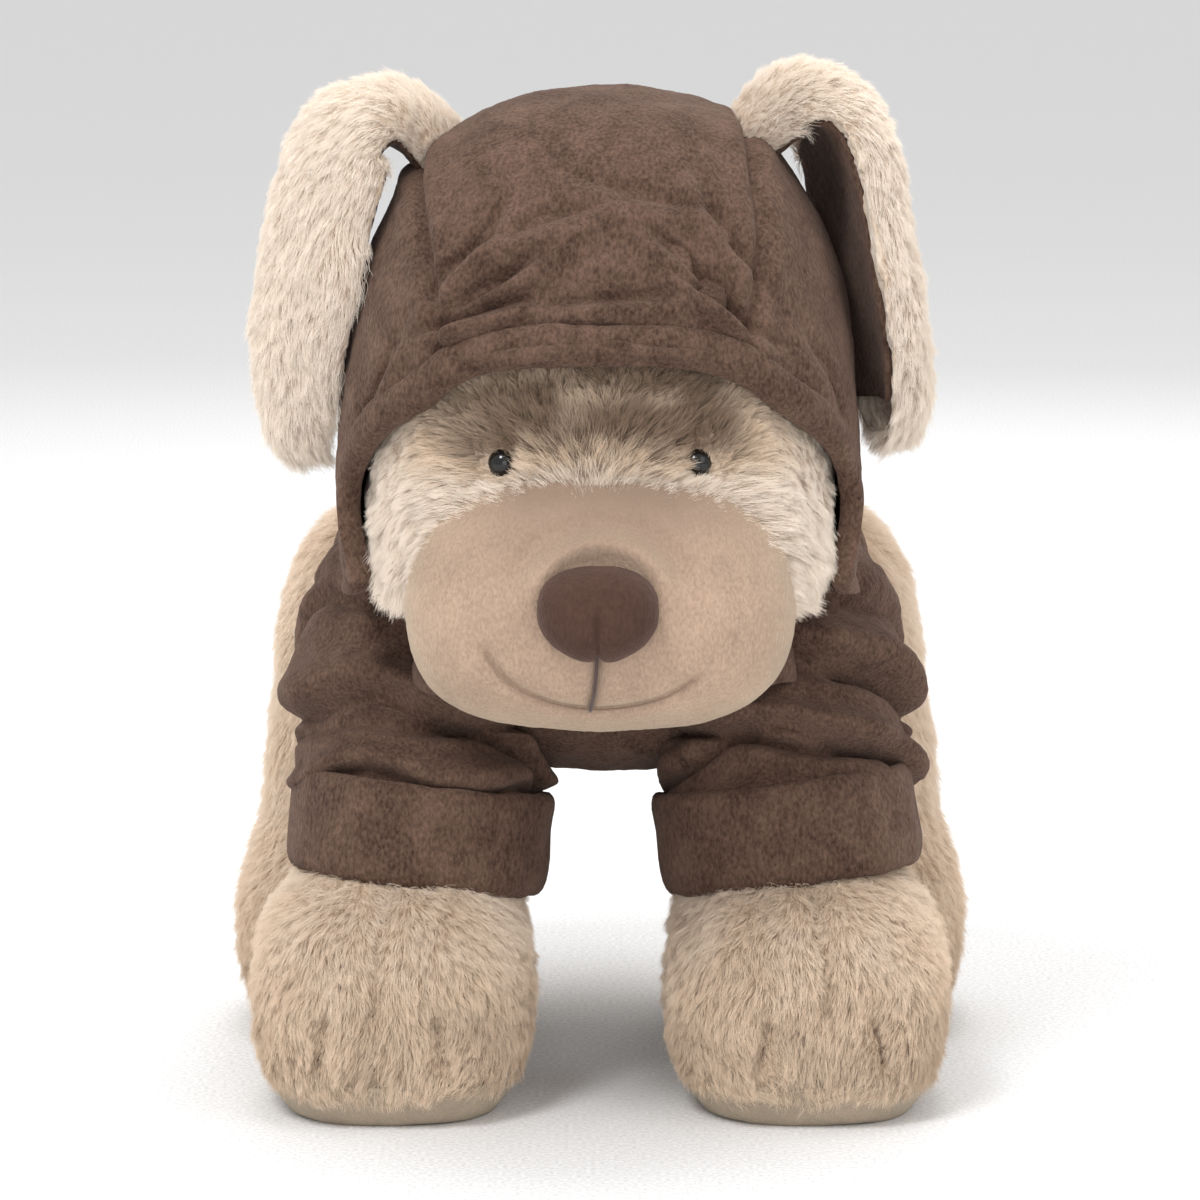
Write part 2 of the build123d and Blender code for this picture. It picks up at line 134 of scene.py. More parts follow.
class DogColours(PropertyGroup):
    """Colours of the plush, the velour and the trim"""

    fur_tip: colour("Fur tips", "Ends of the cream fur", (0.93, 0.82, 0.70))
    fur_root: colour("Fur roots", "Shaded base of the fur", (0.60, 0.45, 0.32))
    beige_tip: colour("Leg fur tips", "Ends of the fur on the legs", (0.80, 0.63, 0.47))
    taupe_tip: colour("Forehead tips", "Ends of the darker fur on the forehead", (0.27, 0.185, 0.125))
    fleece: colour("Muzzle fleece", "Short pile of the muzzle", (0.385, 0.272, 0.20))
    # The velour's two tones are a shaded and a lit copy of one cloth: this dark pile holds painted shade and
    # the brushed tone below is a painted highlight, mixed in patches where the pile lies two ways.
    velour: colour("Velour", "Pile of the hoodie", (0.04, 0.0205, 0.014))
    velour_light: colour("Velour painted highlight", "Velour pile brushed the other way", (0.165, 0.1, 0.072))
    seam: colour("Seam thread", "Thread that matches the fleece", (0.30, 0.2, 0.14))
    nose: colour("Nose", "Velour of the nose", (0.05, 0.026, 0.019))
    thread: colour("Thread", "Embroidery of the mouth and toes", (0.07, 0.035, 0.028))
    sole: colour("Sole", "Knitted cloth under the paws", (0.46, 0.37, 0.28))
    floor: colour("Floor", "Plain floor under the dog", (0.93, 0.93, 0.93))


class DogStageSizes(PropertyGroup):
    """The camera's place and lens"""

    distance: length("Camera distance", "From the middle of the dog", 1700)
    target_height: length("Target height", "Height that the camera looks at", 155.4)
    target_y: length("Target depth", "Place along Y that the camera looks at", 7.5)
    elevation: FloatProperty(
        name="Elevation", description="Camera angle above level", default=math.radians(8.0), subtype="ANGLE"
    )
    lens: FloatProperty(name="Lens", description="Focal length in millimetres", default=153.0)


def sizes(name):
    return getattr(bpy.context.scene, name)


# ---------------------------------------------------------------- shape tools, in millimetres
SCATTER = (374761393, 668265263, 1442695041)  # large odd numbers that scramble a cell's place
SCATTER_SEED = 1274126177
HALF_RANGE = 32767.5  # half of the largest number in 16 bits
RAY_HALVINGS = 22
FINE_BALL, PLAIN_BALL = 7, 6  # times that the triangles of a ball are divided
CLOTH_GRAIN = 1.7  # millimetres


def lattice(cell, seed):
    """A repeatable random number from -1 to 1 for each cell."""
    mixed = sum(place * factor for place, factor in zip(cell, SCATTER)) + seed * SCATTER_SEED
    mixed = ((mixed ^ (mixed >> 13)) * SCATTER_SEED) & 0xFFFFFFFF
    mixed = mixed ^ (mixed >> 16)
    return (mixed & 0xFFFF) / HALF_RANGE - 1


def noise(points, grain, seed=0):
    """Smooth noise from -1 to 1 with features of about this grain."""
    place = points / grain
    base = np.floor(place).astype(np.int64)
    part = place - base
    part = part * part * (3 - 2 * part)
    total = 0.0
    for corner in np.ndindex(2, 2, 2):
        weight = 1.0
        for axis, step in enumerate(corner):
            weight = weight * (part[:, axis] if step else 1 - part[:, axis])
        total = total + weight * lattice((base + np.array(corner)).T, seed)
    return total


def cloudy(points, grain, seed=0, octaves=3):
    """Noise with finer and weaker layers added."""
    layers = [noise(points, grain / 2**step, seed + step) / 2**step for step in range(octaves)]
    return sum(layers)


def bump(distance, width):
    """A soft hump around zero distance."""
    return np.exp(-((distance / width) ** 2))


def rising(value, low, high):
    """From 0 below low to 1 above high, smoothly."""
    part = np.clip((value - low) / (high - low), 0, 1)
    return part * part * (3 - 2 * part)


def unit(vectors):
    """The vectors at length one."""
    return vectors / np.maximum(np.linalg.norm(vectors, axis=-1, keepdims=True), 1e-9)


def along_surface(directions, normals):
    """The directions without what points along the normals, at length one."""
    return unit(directions - normals * (directions * normals).sum(axis=1, keepdims=True))


def full_turn(count):
    """Even angles once around."""
    return np.linspace(0, 2 * math.pi, count, endpoint=False)


class Blob:
    """A rounded solid: half sizes along its own axes, and a power that squares it off."""

    def __init__(self, centre, half, power=2.2, turn=(0, 0, 0)):
        self.centre = np.array(centre, float)
        self.half = np.array(half, float)
        self.power = power
        spin = Matrix.Identity(3)
        for axis, angle in zip("XYZ", turn):
            spin = Matrix.Rotation(math.radians(angle), 3, axis) @ spin
        self.spin = np.array(spin)

    def __call__(self, points):
        local = np.abs((points - self.centre) @ self.spin) / self.half
        reach = (local**self.power).sum(axis=-1) ** (1 / self.power)
        return (reach - 1) * self.half.min()


def merged(blobs, soft):
    """The field of several blobs that flow into each other."""

    def field(points):
        parts = np.stack([blob(points) for blob in blobs])
        low = parts.min(axis=0)
        return low - soft * np.log(np.exp((low - parts) / soft).sum(axis=0))

    return field


def reach_out(centre, rays, field, limit=260.0):
    """How far each ray goes from the centre before it leaves the field's solid."""
    low = np.zeros(len(rays))
    high = np.full(len(rays), limit)
    for _ in range(RAY_HALVINGS):
        middle = (low + high) / 2
        inside = field(centre + rays * middle[:, None]) < 0
        low = np.where(inside, middle, low)
        high = np.where(inside, high, middle)
    return centre + rays * low[:, None]


def ball_grid(level):
    """Directions and triangles of an evenly divided ball."""
    made = bmesh.new()
    bmesh.ops.create_icosphere(made, subdivisions=level, radius=1.0)
    rays = np.array([vertex.co for vertex in made.verts])
    faces = [[vertex.index for vertex in face.verts] for face in made.faces]
    made.free()
    return unit(rays), faces


def quad_row(low, high, columns):
    """Quads between two closed rings, from the first index of each."""
    beside = [(column + 1) % columns for column in range(columns)]
    return [[low + column, low + after, high + after, high + column] for column, after in enumerate(beside)]


def grid_faces(rows, columns):
    """Quads between rows of points, each row a closed ring."""
    return [quad for row in range(rows - 1) for quad in quad_row(row * columns, (row + 1) * columns, columns)]


def band_faces(rows, columns):
    """The same, with the last row sewn to the first."""
    return grid_faces(rows, columns) + quad_row((rows - 1) * columns, 0, columns)


def make_piece(name, points, faces, body, material):
    """A mesh piece from points in millimetres, riding on a body unless it is None."""
    mesh = bpy.data.meshes.new(name)
    mesh.from_pydata((np.asarray(points) * MM).tolist(), [], faces)
    mesh.validate()
    fix = bmesh.new()
    fix.from_mesh(mesh)
    bmesh.ops.recalc_face_normals(fix, faces=fix.faces)
    fix.to_mesh(mesh)
    fix.free()
    mesh.polygons.foreach_set("use_smooth", [True] * len(mesh.polygons))
    mesh.materials.append(material)
    piece = bpy.data.objects.new(name, mesh)
    bpy.context.scene.collection.objects.link(piece)
    if body:
        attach(piece, body)
    return piece


def mesh_points(mesh):
    """A mesh's points, in millimetres."""
    found = np.empty(len(mesh.vertices) * 3)
    mesh.vertices.foreach_get("co", found)
    return found.reshape(-1, 3) / MM


def mesh_normals(mesh):
    """The normal at each point of a mesh."""
    found = np.empty(len(mesh.vertices) * 3)
    mesh.vertex_normals.foreach_get("vector", found)
    return found.reshape(-1, 3)


def push(piece, amount):
    """Moves every point along its normal by amount(points, normals), in millimetres."""
    mesh = piece.data
    points, normals = mesh_points(mesh), mesh_normals(mesh)
    moved = points + normals * amount(points, normals)[:, None]
    mesh.vertices.foreach_set("co", (moved * MM).ravel())
    mesh.update()


def wrapped(name, centre, field, level, body, material):
    """A closed skin around a field's solid, seen from the centre."""
    rays, faces = ball_grid(level)
    return make_piece(name, reach_out(np.array(centre, float), rays, field), faces, body, material)


def tube(rings):
    """Points and faces of a tube through rings of equal length, closed at both ends."""
    count = len(rings[0])
    points = np.concatenate([*rings, [rings[0].mean(axis=0)], [rings[-1].mean(axis=0)]])
    faces = grid_faces(len(rings), count)
    first, last = len(points) - 2, len(points) - 1
    low = (len(rings) - 1) * count
    for index in range(count):
        beside = (index + 1) % count
        faces.append([first, beside, index])
        faces.append([last, low + index, low + beside])
    return points, faces


def rounded(piece):
    """Rounds a band's corners."""
    soft = piece.modifiers.new("Round", "SUBSURF")
    soft.levels = soft.render_levels = 1


def point_tree(points):
    """A tree that finds the nearest of some points."""
    tree = KDTree(len(points))
    for index, point in enumerate(points):
        tree.insert(Vector(point), index)
    tree.balance()
    return tree


def curve_through(stations, count):
    """Evenly spread points on a smooth curve through the stations, whatever each row holds."""
    stations = np.array(stations, float)
    before_all, after_all = 2 * stations[:1] - stations[1:2], 2 * stations[-1:] - stations[-2:-1]
    padded = np.concatenate([before_all, stations, after_all])
    spans = len(stations) - 1
    found = []
    for value in np.linspace(0, spans, count):
        span = min(int(value), spans - 1)
        part = value - span
        before, start, end, after = padded[span:span + 4]
        found.append(0.5 * (2 * start + (end - before) * part
                            + (2 * before - 5 * start + 4 * end - after) * part**2
                            + (3 * start - before - 3 * end + after) * part**3))
    return np.array(found)


def thread(name, path, radius, body, material, onto=None, lift=0.0):
    """A round thread along a path, laid on the surface of a piece if one is given."""
    path = np.array(path, float)
    if onto is not None:
        tree = surface_tree(onto)
        laid = []
        for point in path:
            place, normal, _, _ = tree.find_nearest(Vector(point * MM))
            laid.append((np.array(place) + np.array(normal) * lift * MM) / MM)
        path = np.array(laid)
    along = unit(np.gradient(path, axis=0))
    side = unit(np.cross(along, [0.0, 1.0, 0.2]))
    up = np.cross(side, along)
    turn = full_turn(8)[:, None]
    rings = [point + radius * (np.cos(turn) * across + np.sin(turn) * over)
             for point, across, over in zip(path, side, up)]
    points, faces = tube(rings)
    return make_piece(name, points, faces, body, material)


def surface_tree(piece):
    """A tree that finds places on a piece's surface."""
    mesh = piece.data
    corners = [tuple(vertex.co) for vertex in mesh.vertices]
    return BVHTree.FromPolygons(corners, [tuple(face.vertices) for face in mesh.polygons])


# ---------------------------------------------------------------- fur
STRAND_POINTS = 6
LOCK = 28  # strands that lean towards one tip
BROAD_SWIRL, FINE_SWIRL = (14.0, 0.55), (5.0, 0.35)  # grain in millimetres, strength
STRAY = 0.10  # how far single strands stray from their lay
SHORTEST, LENGTH_SPREAD = 0.72, 0.4  # shares of the pile's length
DROOP = 0.16
BEND = 0.045  # sideways waves, as a share of the length
ROOT_DEPTH = 0.4  # millimetres under the skin


def roots_on(piece, count, weight, draw):
    """Random places on a piece with their normals, as dense as weight(points, normals) asks."""
    mesh = piece.data
    mesh.calc_loop_triangles()
    corners = np.empty(len(mesh.loop_triangles) * 3, dtype=np.int64)
    mesh.loop_triangles.foreach_get("vertices", corners)
    corners = corners.reshape(-1, 3)
    points, normals = mesh_points(mesh), mesh_normals(mesh)
    a, b, c = (points[corners[:, index]] for index in range(3))
    area = np.linalg.norm(np.cross(b - a, c - a), axis=1) / 2
    middle, facing = (a + b + c) / 3, unit(normals[corners].mean(axis=1))
    share = area * weight(middle, facing)
    count = int(count * share.sum())
    chosen = draw.choice(len(share), size=count, p=share / share.sum())
    first, second = draw.random(count), draw.random(count)
    over = first + second > 1
    first, second = np.where(over, 1 - first, first), np.where(over, 1 - second, second)
    part = np.stack([1 - first - second, first, second], axis=1)
    part = part[:, :, None]
    roots = (points[corners[chosen]] * part).sum(axis=1)
    return roots, unit((normals[corners[chosen]] * part).sum(axis=1))


def grow_fur(piece, body, material, pile, comb, weight, lift=0.55, lean=0.5, clump=0.45, seed=0,
             short=None, tone=None, density=1.0):
    """Strands on a piece: comb gives their lay, lift how upright they start, lean how far they lie down,
    clump how they gather in locks, short their share of the pile's length and tone their shade."""
    fur = sizes("dog_fur")
    draw = np.random.default_rng(fur.seed + seed)
    roots, normals = roots_on(piece, fur.density * density, weight, draw)
    count = len(roots)
    lay = along_surface(comb(roots, normals), normals)
    across = np.cross(normals, lay)
    swirl = sum(noise(roots, grain, seed + step)[:, None] * strength
                for step, (grain, strength) in enumerate((BROAD_SWIRL, FINE_SWIRL), start=1))
    start = unit(normals * lift + lay * (1 - lift) + across * swirl
                 + draw.normal(size=(count, 3)) * STRAY)
    size = pile * (SHORTEST + LENGTH_SPREAD * draw.random(count)) * (1 + 0.18 * noise(roots, 9.0, seed + 3))
    if short is not None:
        size = size * short(roots)
    leaders = draw.choice(count, size=max(count // LOCK, 1), replace=False)
    tree = point_tree(roots[leaders])
    nearest = np.array([leaders[tree.find(Vector(root))[1]] for root in roots])
    end_lay = unit(start * 0.5 + lay * lean + np.array([0, 0, -DROOP]))
    tips = roots + (start * 0.5 + end_lay * 0.5) * size[:, None]
    pull = (tips[nearest] - tips) * clump
    steps = np.linspace(0, 1, STRAND_POINTS)
    wave = draw.normal(size=(count, 3)) * BEND * size[:, None]
    strands = np.empty((count, len(steps), 3))
    for index, step in enumerate(steps):
        along = start * (step - 0.5 * step**2) + end_lay * 0.5 * step**2
        strands[:, index] = roots + along * size[:, None] + pull * step**1.6 + wave * math.sin(step * 4.5)
    strands[:, 0] -= normals * ROOT_DEPTH
    data = bpy.data.hair_curves.new(piece.name + "_strands")
    data.add_curves([len(steps)] * count)
    data.points.foreach_set("position", (strands * MM).astype(np.float32).ravel())
    taper = fur.strand / 2 * (1 - 0.75 * steps)
    data.points.foreach_set("radius", np.tile(taper, count).astype(np.float32))
    shade = data.attributes.new("shade", "FLOAT", "CURVE")
    tones = np.zeros(count) if tone is None else tone(roots)
    shade.data.foreach_set("value", tones.astype(np.float32))
    data.materials.append(material)
    coat = bpy.data.objects.new(piece.name + "_strands", data)
    bpy.context.scene.collection.objects.link(coat)
    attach(coat, body)
    return coat


def everywhere(points, normals):
    """Fur of the same density all over."""
    return np.ones(len(points))


def tufted(pile, comb, seed):
    """Locks of fur as a displacement, long along the comb's direction."""

    def amount(points, normals):
        lay = along_surface(comb(points, normals), normals)
        squeezed = points - lay * (points * lay).sum(axis=1, keepdims=True) * 0.62
        ridge = 1 - np.abs(noise(squeezed, 4.2, seed)) * 2
        fine = 1 - np.abs(noise(squeezed, 2.1, seed + 5)) * 2
        return pile * (0.10 * ridge + 0.05 * fine + 0.07 * cloudy(points, 11.0, seed + 9))

    return amount


# ---------------------------------------------------------------- shader tools
UNDERCOAT = (420.0, 90.0, 1.2, 0.3)  # grain, patch, height in millimetres and sheen of the skin under fur


def scaled(tone, factor):
    """A colour made darker or lighter."""
    return tuple(value * factor for value in tone)


def new_material(name):
    """A new material with its tree and its shader."""
    made = bpy.data.materials.new(name)
    made.use_nodes = True
    return made, made.node_tree, made.node_tree.nodes["Principled BSDF"]


def object_place(tree):
    """The socket that gives each point's place on its object."""
    return tree.nodes.new("ShaderNodeTexCoord").outputs["Object"]


def node(tree, kind, **values):
    """A shader node with its properties and its inputs' defaults set by name."""
    made = tree.nodes.new(kind)
    for key, value in values.items():
        if hasattr(made, key):
            setattr(made, key, value)
        else:
            made.inputs[key.replace("_", " ")].default_value = value
    return made


def mix_colours(tree, factor, first, second, blend="MIX"):
    """A colour mix whose inputs are sockets or plain values."""
    made = tree.nodes.new("ShaderNodeMix")
    made.data_type, made.blend_type = "RGBA", blend
    for index, value in ((0, factor), (6, first), (7, second)):
        if isinstance(value, bpy.types.NodeSocket):
            tree.links.new(value, made.inputs[index])
        elif index == 0:
            made.inputs[0].default_value = value
        else:
            made.inputs[index].default_value = (*value, 1.0)
    return made.outputs[2]


def curve_value(tree, value, low, high, start=0.0, end=1.0):
    """A socket's value moved from one range to another and held there."""
    made = tree.nodes.new("ShaderNodeMapRange")
    for index, number in ((1, low), (2, high), (3, start), (4, end)):
        made.inputs[index].default_value = number
    tree.links.new(value, made.inputs[0])
    return made.outputs[0]


def pile_group():
    """Short brushed pile: patches lie two ways, over a fine streaky grain. On the velour the lighter patches
    are a painted highlight and the darker ones painted shade.
    """
    name = "Brushed pile"
    if name in bpy.data.node_groups:
        return bpy.data.node_groups[name]
    group = bpy.data.node_groups.new(name, "ShaderNodeTree")
    face = group.interface
    face.new_socket("Pile", in_out="INPUT", socket_type="NodeSocketColor")
    face.new_socket("Brushed", in_out="INPUT", socket_type="NodeSocketColor")
    for label, default in (("Grain", 900.0), ("Patch", 55.0)):
        face.new_socket(label, in_out="INPUT", socket_type="NodeSocketFloat").default_value = default
    face.new_socket("Colour", in_out="OUTPUT", socket_type="NodeSocketColor")
    face.new_socket("Height", in_out="OUTPUT", socket_type="NodeSocketFloat")
    outside, inside = group.nodes.new("NodeGroupInput"), group.nodes.new("NodeGroupOutput")
    place = object_place(group)
    stretch = node(group, "ShaderNodeMapping")
    stretch.inputs["Scale"].default_value = (1.0, 1.0, 0.55)
    group.links.new(place, stretch.inputs["Vector"])
    fine = node(group, "ShaderNodeTexNoise", Detail=3.0, Roughness=0.65)
    group.links.new(stretch.outputs[0], fine.inputs["Vector"])
    group.links.new(outside.outputs["Grain"], fine.inputs["Scale"])
    broad = node(group, "ShaderNodeTexNoise", Detail=4.0, Roughness=0.6, Distortion=0.6)
    group.links.new(place, broad.inputs["Vector"])
    group.links.new(outside.outputs["Patch"], broad.inputs["Scale"])
    lie = curve_value(group, broad.outputs[0], 0.36, 0.68)
    streak = curve_value(group, fine.outputs[0], 0.34, 0.66)
    both = node(group, "ShaderNodeMath", operation="MULTIPLY_ADD")
    group.links.new(streak, both.inputs[0])
    both.inputs[1].default_value = 0.62
    held = node(group, "ShaderNodeMath", operation="MULTIPLY")
    group.links.new(lie, held.inputs[0])
    held.inputs[1].default_value = 0.42
    group.links.new(held.outputs[0], both.inputs[2])
    # Mixes the two colours in patches and streaks; on the velour the lighter one is a painted highlight and
    # the darker one painted shade.
    colour_out = mix_colours(group, both.outputs[0], outside.outputs["Pile"], outside.outputs["Brushed"])
    group.links.new(colour_out, inside.inputs["Colour"])
    group.links.new(fine.outputs[0], inside.inputs["Height"])
    return group


def pile_material(name, dark, light, grain, patch, height, sheen, roughness=0.9):
    """A matte short-pile cloth."""
    made, tree, shader = new_material(name)
    pile = tree.nodes.new("ShaderNodeGroup")
    pile.node_tree = pile_group()
    pile.inputs["Pile"].default_value = (*dark, 1.0)
    pile.inputs["Brushed"].default_value = (*light, 1.0)
    pile.inputs["Grain"].default_value = grain
    pile.inputs["Patch"].default_value = patch
    tree.links.new(pile.outputs["Colour"], shader.inputs["Base Color"])
    shader.inputs["Roughness"].default_value = roughness
    shader.inputs["Specular IOR Level"].default_value = 0.15
    shader.inputs["Sheen Weight"].default_value = sheen
    shader.inputs["Sheen Roughness"].default_value = 0.45
    shader.inputs["Sheen Tint"].default_value = (*[min(1.0, value * 2.2 + 0.2) for value in light], 1.0)
    relief = node(tree, "ShaderNodeBump", Strength=1.0, Distance=height * MM)
    tree.links.new(pile.outputs["Height"], relief.inputs["Height"])
    tree.links.new(relief.outputs[0], shader.inputs["Normal"])
    return made


def strand_material(name, root, tip, middle_tip, dark_tip):
    """Fur strands: shaded at the root, with the tip's tone from each strand's own shade, 0 to 1."""
    made, tree, shader = new_material(name)
    hair = tree.nodes.new("ShaderNodeHairInfo")
    shade = node(tree, "ShaderNodeAttribute", attribute_name="shade")
    half = mix_colours(tree, curve_value(tree, shade.outputs["Fac"], 0.0, 0.5), tip, middle_tip)
    end = mix_colours(tree, curve_value(tree, shade.outputs["Fac"], 0.5, 1.0), half, dark_tip)
    chance = curve_value(tree, hair.outputs["Random"], 0, 1, 0.0, 0.35)
    lighter = mix_colours(tree, chance, end, (1, 1, 1), "SOFT_LIGHT")
    along = curve_value(tree, hair.outputs["Intercept"], 0.0, 0.7)
    darker = curve_value(tree, shade.outputs["Fac"], 0.3, 1.0)
    dark_root = mix_colours(tree, darker, root, scaled(dark_tip, 0.45))
    tree.links.new(mix_colours(tree, along, dark_root, lighter), shader.inputs["Base Color"])
    shader.inputs["Roughness"].default_value = 0.62
    shader.inputs["Specular IOR Level"].default_value = 0.25
    shader.inputs["Sheen Weight"].default_value = 0.15
    return made


def patched_material(made, taupe, half_width, low, high, strength=1.0):
    """A pile material with a darker middle that starts between two heights, in metres."""
    tree = made.node_tree
    shader = tree.nodes["Principled BSDF"]
    cream = shader.inputs["Base Color"].links[0].from_socket
    place = node(tree, "ShaderNodeSeparateXYZ")
    tree.links.new(object_place(tree), place.inputs[0])
    aside = node(tree, "ShaderNodeMath", operation="ABSOLUTE")
    tree.links.new(place.outputs["X"], aside.inputs[0])
    mask = node(tree, "ShaderNodeMath", operation="MULTIPLY")
    inwards = curve_value(tree, aside.outputs[0], half_width, half_width * 0.4, 0.0, strength)
    tree.links.new(inwards, mask.inputs[0])
    tree.links.new(curve_value(tree, place.outputs["Z"], low, high), mask.inputs[1])
    tree.links.new(mix_colours(tree, mask.outputs[0], cream, taupe), shader.inputs["Base Color"])
    return made


def plain_material(name, base, roughness, sheen=0.0):
    """A smooth moulded or thread finish with a slight unevenness."""
    made, tree, shader = new_material(name)
    speck = node(tree, "ShaderNodeTexNoise", Scale=700.0, Detail=2.0)
    tree.links.new(object_place(tree), speck.inputs["Vector"])
    tone = curve_value(tree, speck.outputs[0], 0.3, 0.7)
    tree.links.new(mix_colours(tree, tone, scaled(base, 0.75), base), shader.inputs["Base Color"])
    shader.inputs["Roughness"].default_value = roughness
    shader.inputs["Sheen Weight"].default_value = sheen
    return made


MATERIALS = {}


def material(name):
    """The dog's materials, made at their first use."""
    if name not in MATERIALS:
        tones = {tone: tuple(getattr(sizes("dog_colours"), tone)) for tone in DogColours.__annotations__}
        tip, root, taupe = tones["fur_tip"], tones["fur_root"], tones["taupe_tip"]
        beige, fleece, nose, sole = tones["beige_tip"], tones["fleece"], tones["nose"], tones["sole"]
        makers = {
            # The velour's dark and light tones are painted shade and a painted highlight of one cloth.
            "velour": lambda: pile_material("Velour", tones["velour"], tones["velour_light"],
                                            900.0, 70.0, 0.9, 0.22),
            "nose": lambda: pile_material("Nose velour", nose, scaled(nose, 1.7), 900.0, 60.0, 0.5, 0.35),
            "fleece": lambda: patched_material(
                pile_material("Fleece", scaled(fleece, 0.8), scaled(fleece, 1.3), 1100.0, 30.0, 0.45, 0.3),
                scaled(fleece, 0.62), 0.055, 0.178, 0.208, 0.85),
            "undercoat": lambda: pile_material("Fur undercoat", root, tip, *UNDERCOAT),
            "leg_undercoat": lambda: pile_material("Leg undercoat", scaled(root, 0.8), beige, *UNDERCOAT),
            "head_undercoat": lambda: patched_material(
                pile_material("Head undercoat", root, tip, *UNDERCOAT), taupe, 0.07, 0.205, 0.222),
            "seam": lambda: plain_material("Seam thread", tones["seam"], 0.7),
            "sole": lambda: pile_material("Sole knit", scaled(sole, 0.7), sole, 1500.0, 120.0, 0.4, 0.2),
            "strands": lambda: strand_material("Fur strands", root, tip, beige, taupe),
            "thread": lambda: plain_material("Thread", tones["thread"], 0.6, sheen=0.3),
            "eye": lambda: plain_material("Eye plastic", (0.004, 0.0035, 0.003), 0.09),
            "washer": lambda: plain_material("Washer plastic", (0.75, 0.74, 0.70), 0.45),
            "ribbon": lambda: plain_material("Label ribbon", (0.86, 0.84, 0.78), 0.5, sheen=0.4),
            "filling": lambda: pile_material("Polyester filling", (0.72, 0.71, 0.68), (0.9, 0.9, 0.87),
                                             500.0, 80.0, 1.5, 0.4),
        }
        MATERIALS[name] = makers[name]()
    return MATERIALS[name]


def refinish(name, finish):
    """Gives a shown piece of the frame one of the dog's materials."""
    for place in frame["nodes"][name].material_slots:
        place.material = material(finish)


# ---------------------------------------------------------------- the head's own shape
HEAD_CENTRE = np.array([0.0, HEAD_MIDDLE[1] + 0.5, 195.0])
HOOD_AXIS = unit(np.array([0.0, 0.625, 0.781]))
HOOD_DOWN = np.array([0.0, HOOD_AXIS[2], -HOOD_AXIS[1]])
NECK_LEVEL = 171.0
HEAD_SQUARENESS = 2.55  # 2 is an egg, more is boxier
CHIN_DEPTH = 62.0  # from the head's centre down
HOOD_RIM = (  # down one side of the opening, from the forehead to under the chin
    (0, -130, 247), (37, -127, 244), (55, -120, 233), (72, -100, 216), (79, -92, 200), (78, -95, 188),
    (71, -97, 178), (62, -78, 171), (40, -62, 168), (0, -60, 168),
)


def head_reach(rays, grow):
    """The head's egg shape along rays from its centre, larger all round by grow."""
    head = sizes("dog_head")
    wide = head.face_half_width / MM + grow
    deep = head.face_half_depth / MM + grow
    up = np.where(rays[:, 2] > 0, head.crown_height / MM + grow, CHIN_DEPTH + grow)
    sums = sum(np.abs(rays[:, axis] / half) ** HEAD_SQUARENESS for axis, half in enumerate((wide, deep, up)))
    return sums ** (-1 / HEAD_SQUARENESS)


def around_axis(points):
    """Turn around the hood's axis, 0 over the forehead, and tilt from the axis."""
    rays = unit(points - HEAD_CENTRE)
    return np.arctan2(rays[:, 0], -(rays @ HOOD_DOWN)), np.arccos(np.clip(rays @ HOOD_AXIS, -1, 1))


def opening_angle(turn):
    """The hood's rim as an angle from its axis, around the opening."""
    stations = np.stack(around_axis(np.array(HOOD_RIM, float)), axis=1)
    line = curve_through(stations, 200)
    around = np.abs((turn + math.pi) % (2 * math.pi) - math.pi)
    return np.interp(around, np.maximum.accumulate(line[:, 0]), line[:, 1])


def hood_rays(turn, tilt):
    """Directions at an angle from the hood's axis, around it."""
    side = np.sin(tilt)[:, None] * (np.sin(turn)[:, None] * np.array([1.0, 0, 0])
                                    - np.cos(turn)[:, None] * HOOD_DOWN)
    return side + np.cos(tilt)[:, None] * HOOD_AXIS


def inside_opening(points):
    """How far, in radians, points lie past the hood's rim, towards the face."""
    turn, tilt = around_axis(points)
    return tilt - opening_angle(turn)


def face_comb(points, normals):
    """The face's fur parts at the muzzle and runs up the brow and out over the cheeks."""
    out = np.stack([points[:, 0] * 1.2, np.zeros(len(points)), points[:, 2] - 190.0], axis=1)
    down = np.stack([np.sign(points[:, 0]), np.full(len(points), -0.3), np.full(len(points), -1.2)], axis=1)
    cheek = rising(np.abs(points[:, 0]), 40, 66)[:, None]
    return unit(out) * (1 - cheek) + unit(down) * cheek


def distance_to(points, places):
    """How far each point is from the nearest of some places."""
    return np.min([np.linalg.norm(points - place, axis=1) for place in places], axis=0)


class DOG_OT_head(Operator):
    """Sew and fill the head, with long fur on the face"""

    bl_idname = "dog.head"
    bl_label = "Head"

    def execute(self, context):
        rays, faces = ball_grid(FINE_BALL)
        points = HEAD_CENTRE + rays * head_reach(rays, 0.0)[:, None]
        for side in SIDES.values():
            cheek = Blob((side * 54, -96, 200), (24, 27, 27))
            near = rising(-cheek(points), -14, 10)
            points = points + rays * (near * 1.5)[:, None]
        points[:, 2] = np.maximum(points[:, 2], NECK_LEVEL + 3)
        skin = make_piece("head_fur", points, faces, "head", material("head_undercoat"))
        push(skin, tufted(11.0, face_comb, 11))
        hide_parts("head_skin", "head_stuffing")
        eyes = [node_middle(f"eye_{side}") for side in SIDES]

        def shorter(roots):
            from_rim = 0.4 + 0.6 * rising(inside_opening(roots), 0.02, 0.26)
            return (0.28 + 0.72 * rising(distance_to(roots, eyes), 6.5, 14)) * from_rim

        def off_the_eyes(points, normals):
            return rising(inside_opening(points), -0.06, 0.0) * rising(distance_to(points, eyes), 5.2, 7.2)

        def tone(roots):
            brow = rising(70 - np.abs(roots[:, 0]), 0, 40) * rising(roots[:, 2], 206, 222)
            return np.clip(brow * (0.95 + 0.35 * noise(roots, 9.0, 3)), 0, 1)

        pile = sizes("dog_fur").face_pile / MM
        grow_fur(skin, "head", material("strands"), pile, face_comb, off_the_eyes, lift=0.5, seed=21,
                 short=shorter, tone=tone, density=1.5)
        return {"FINISHED"}


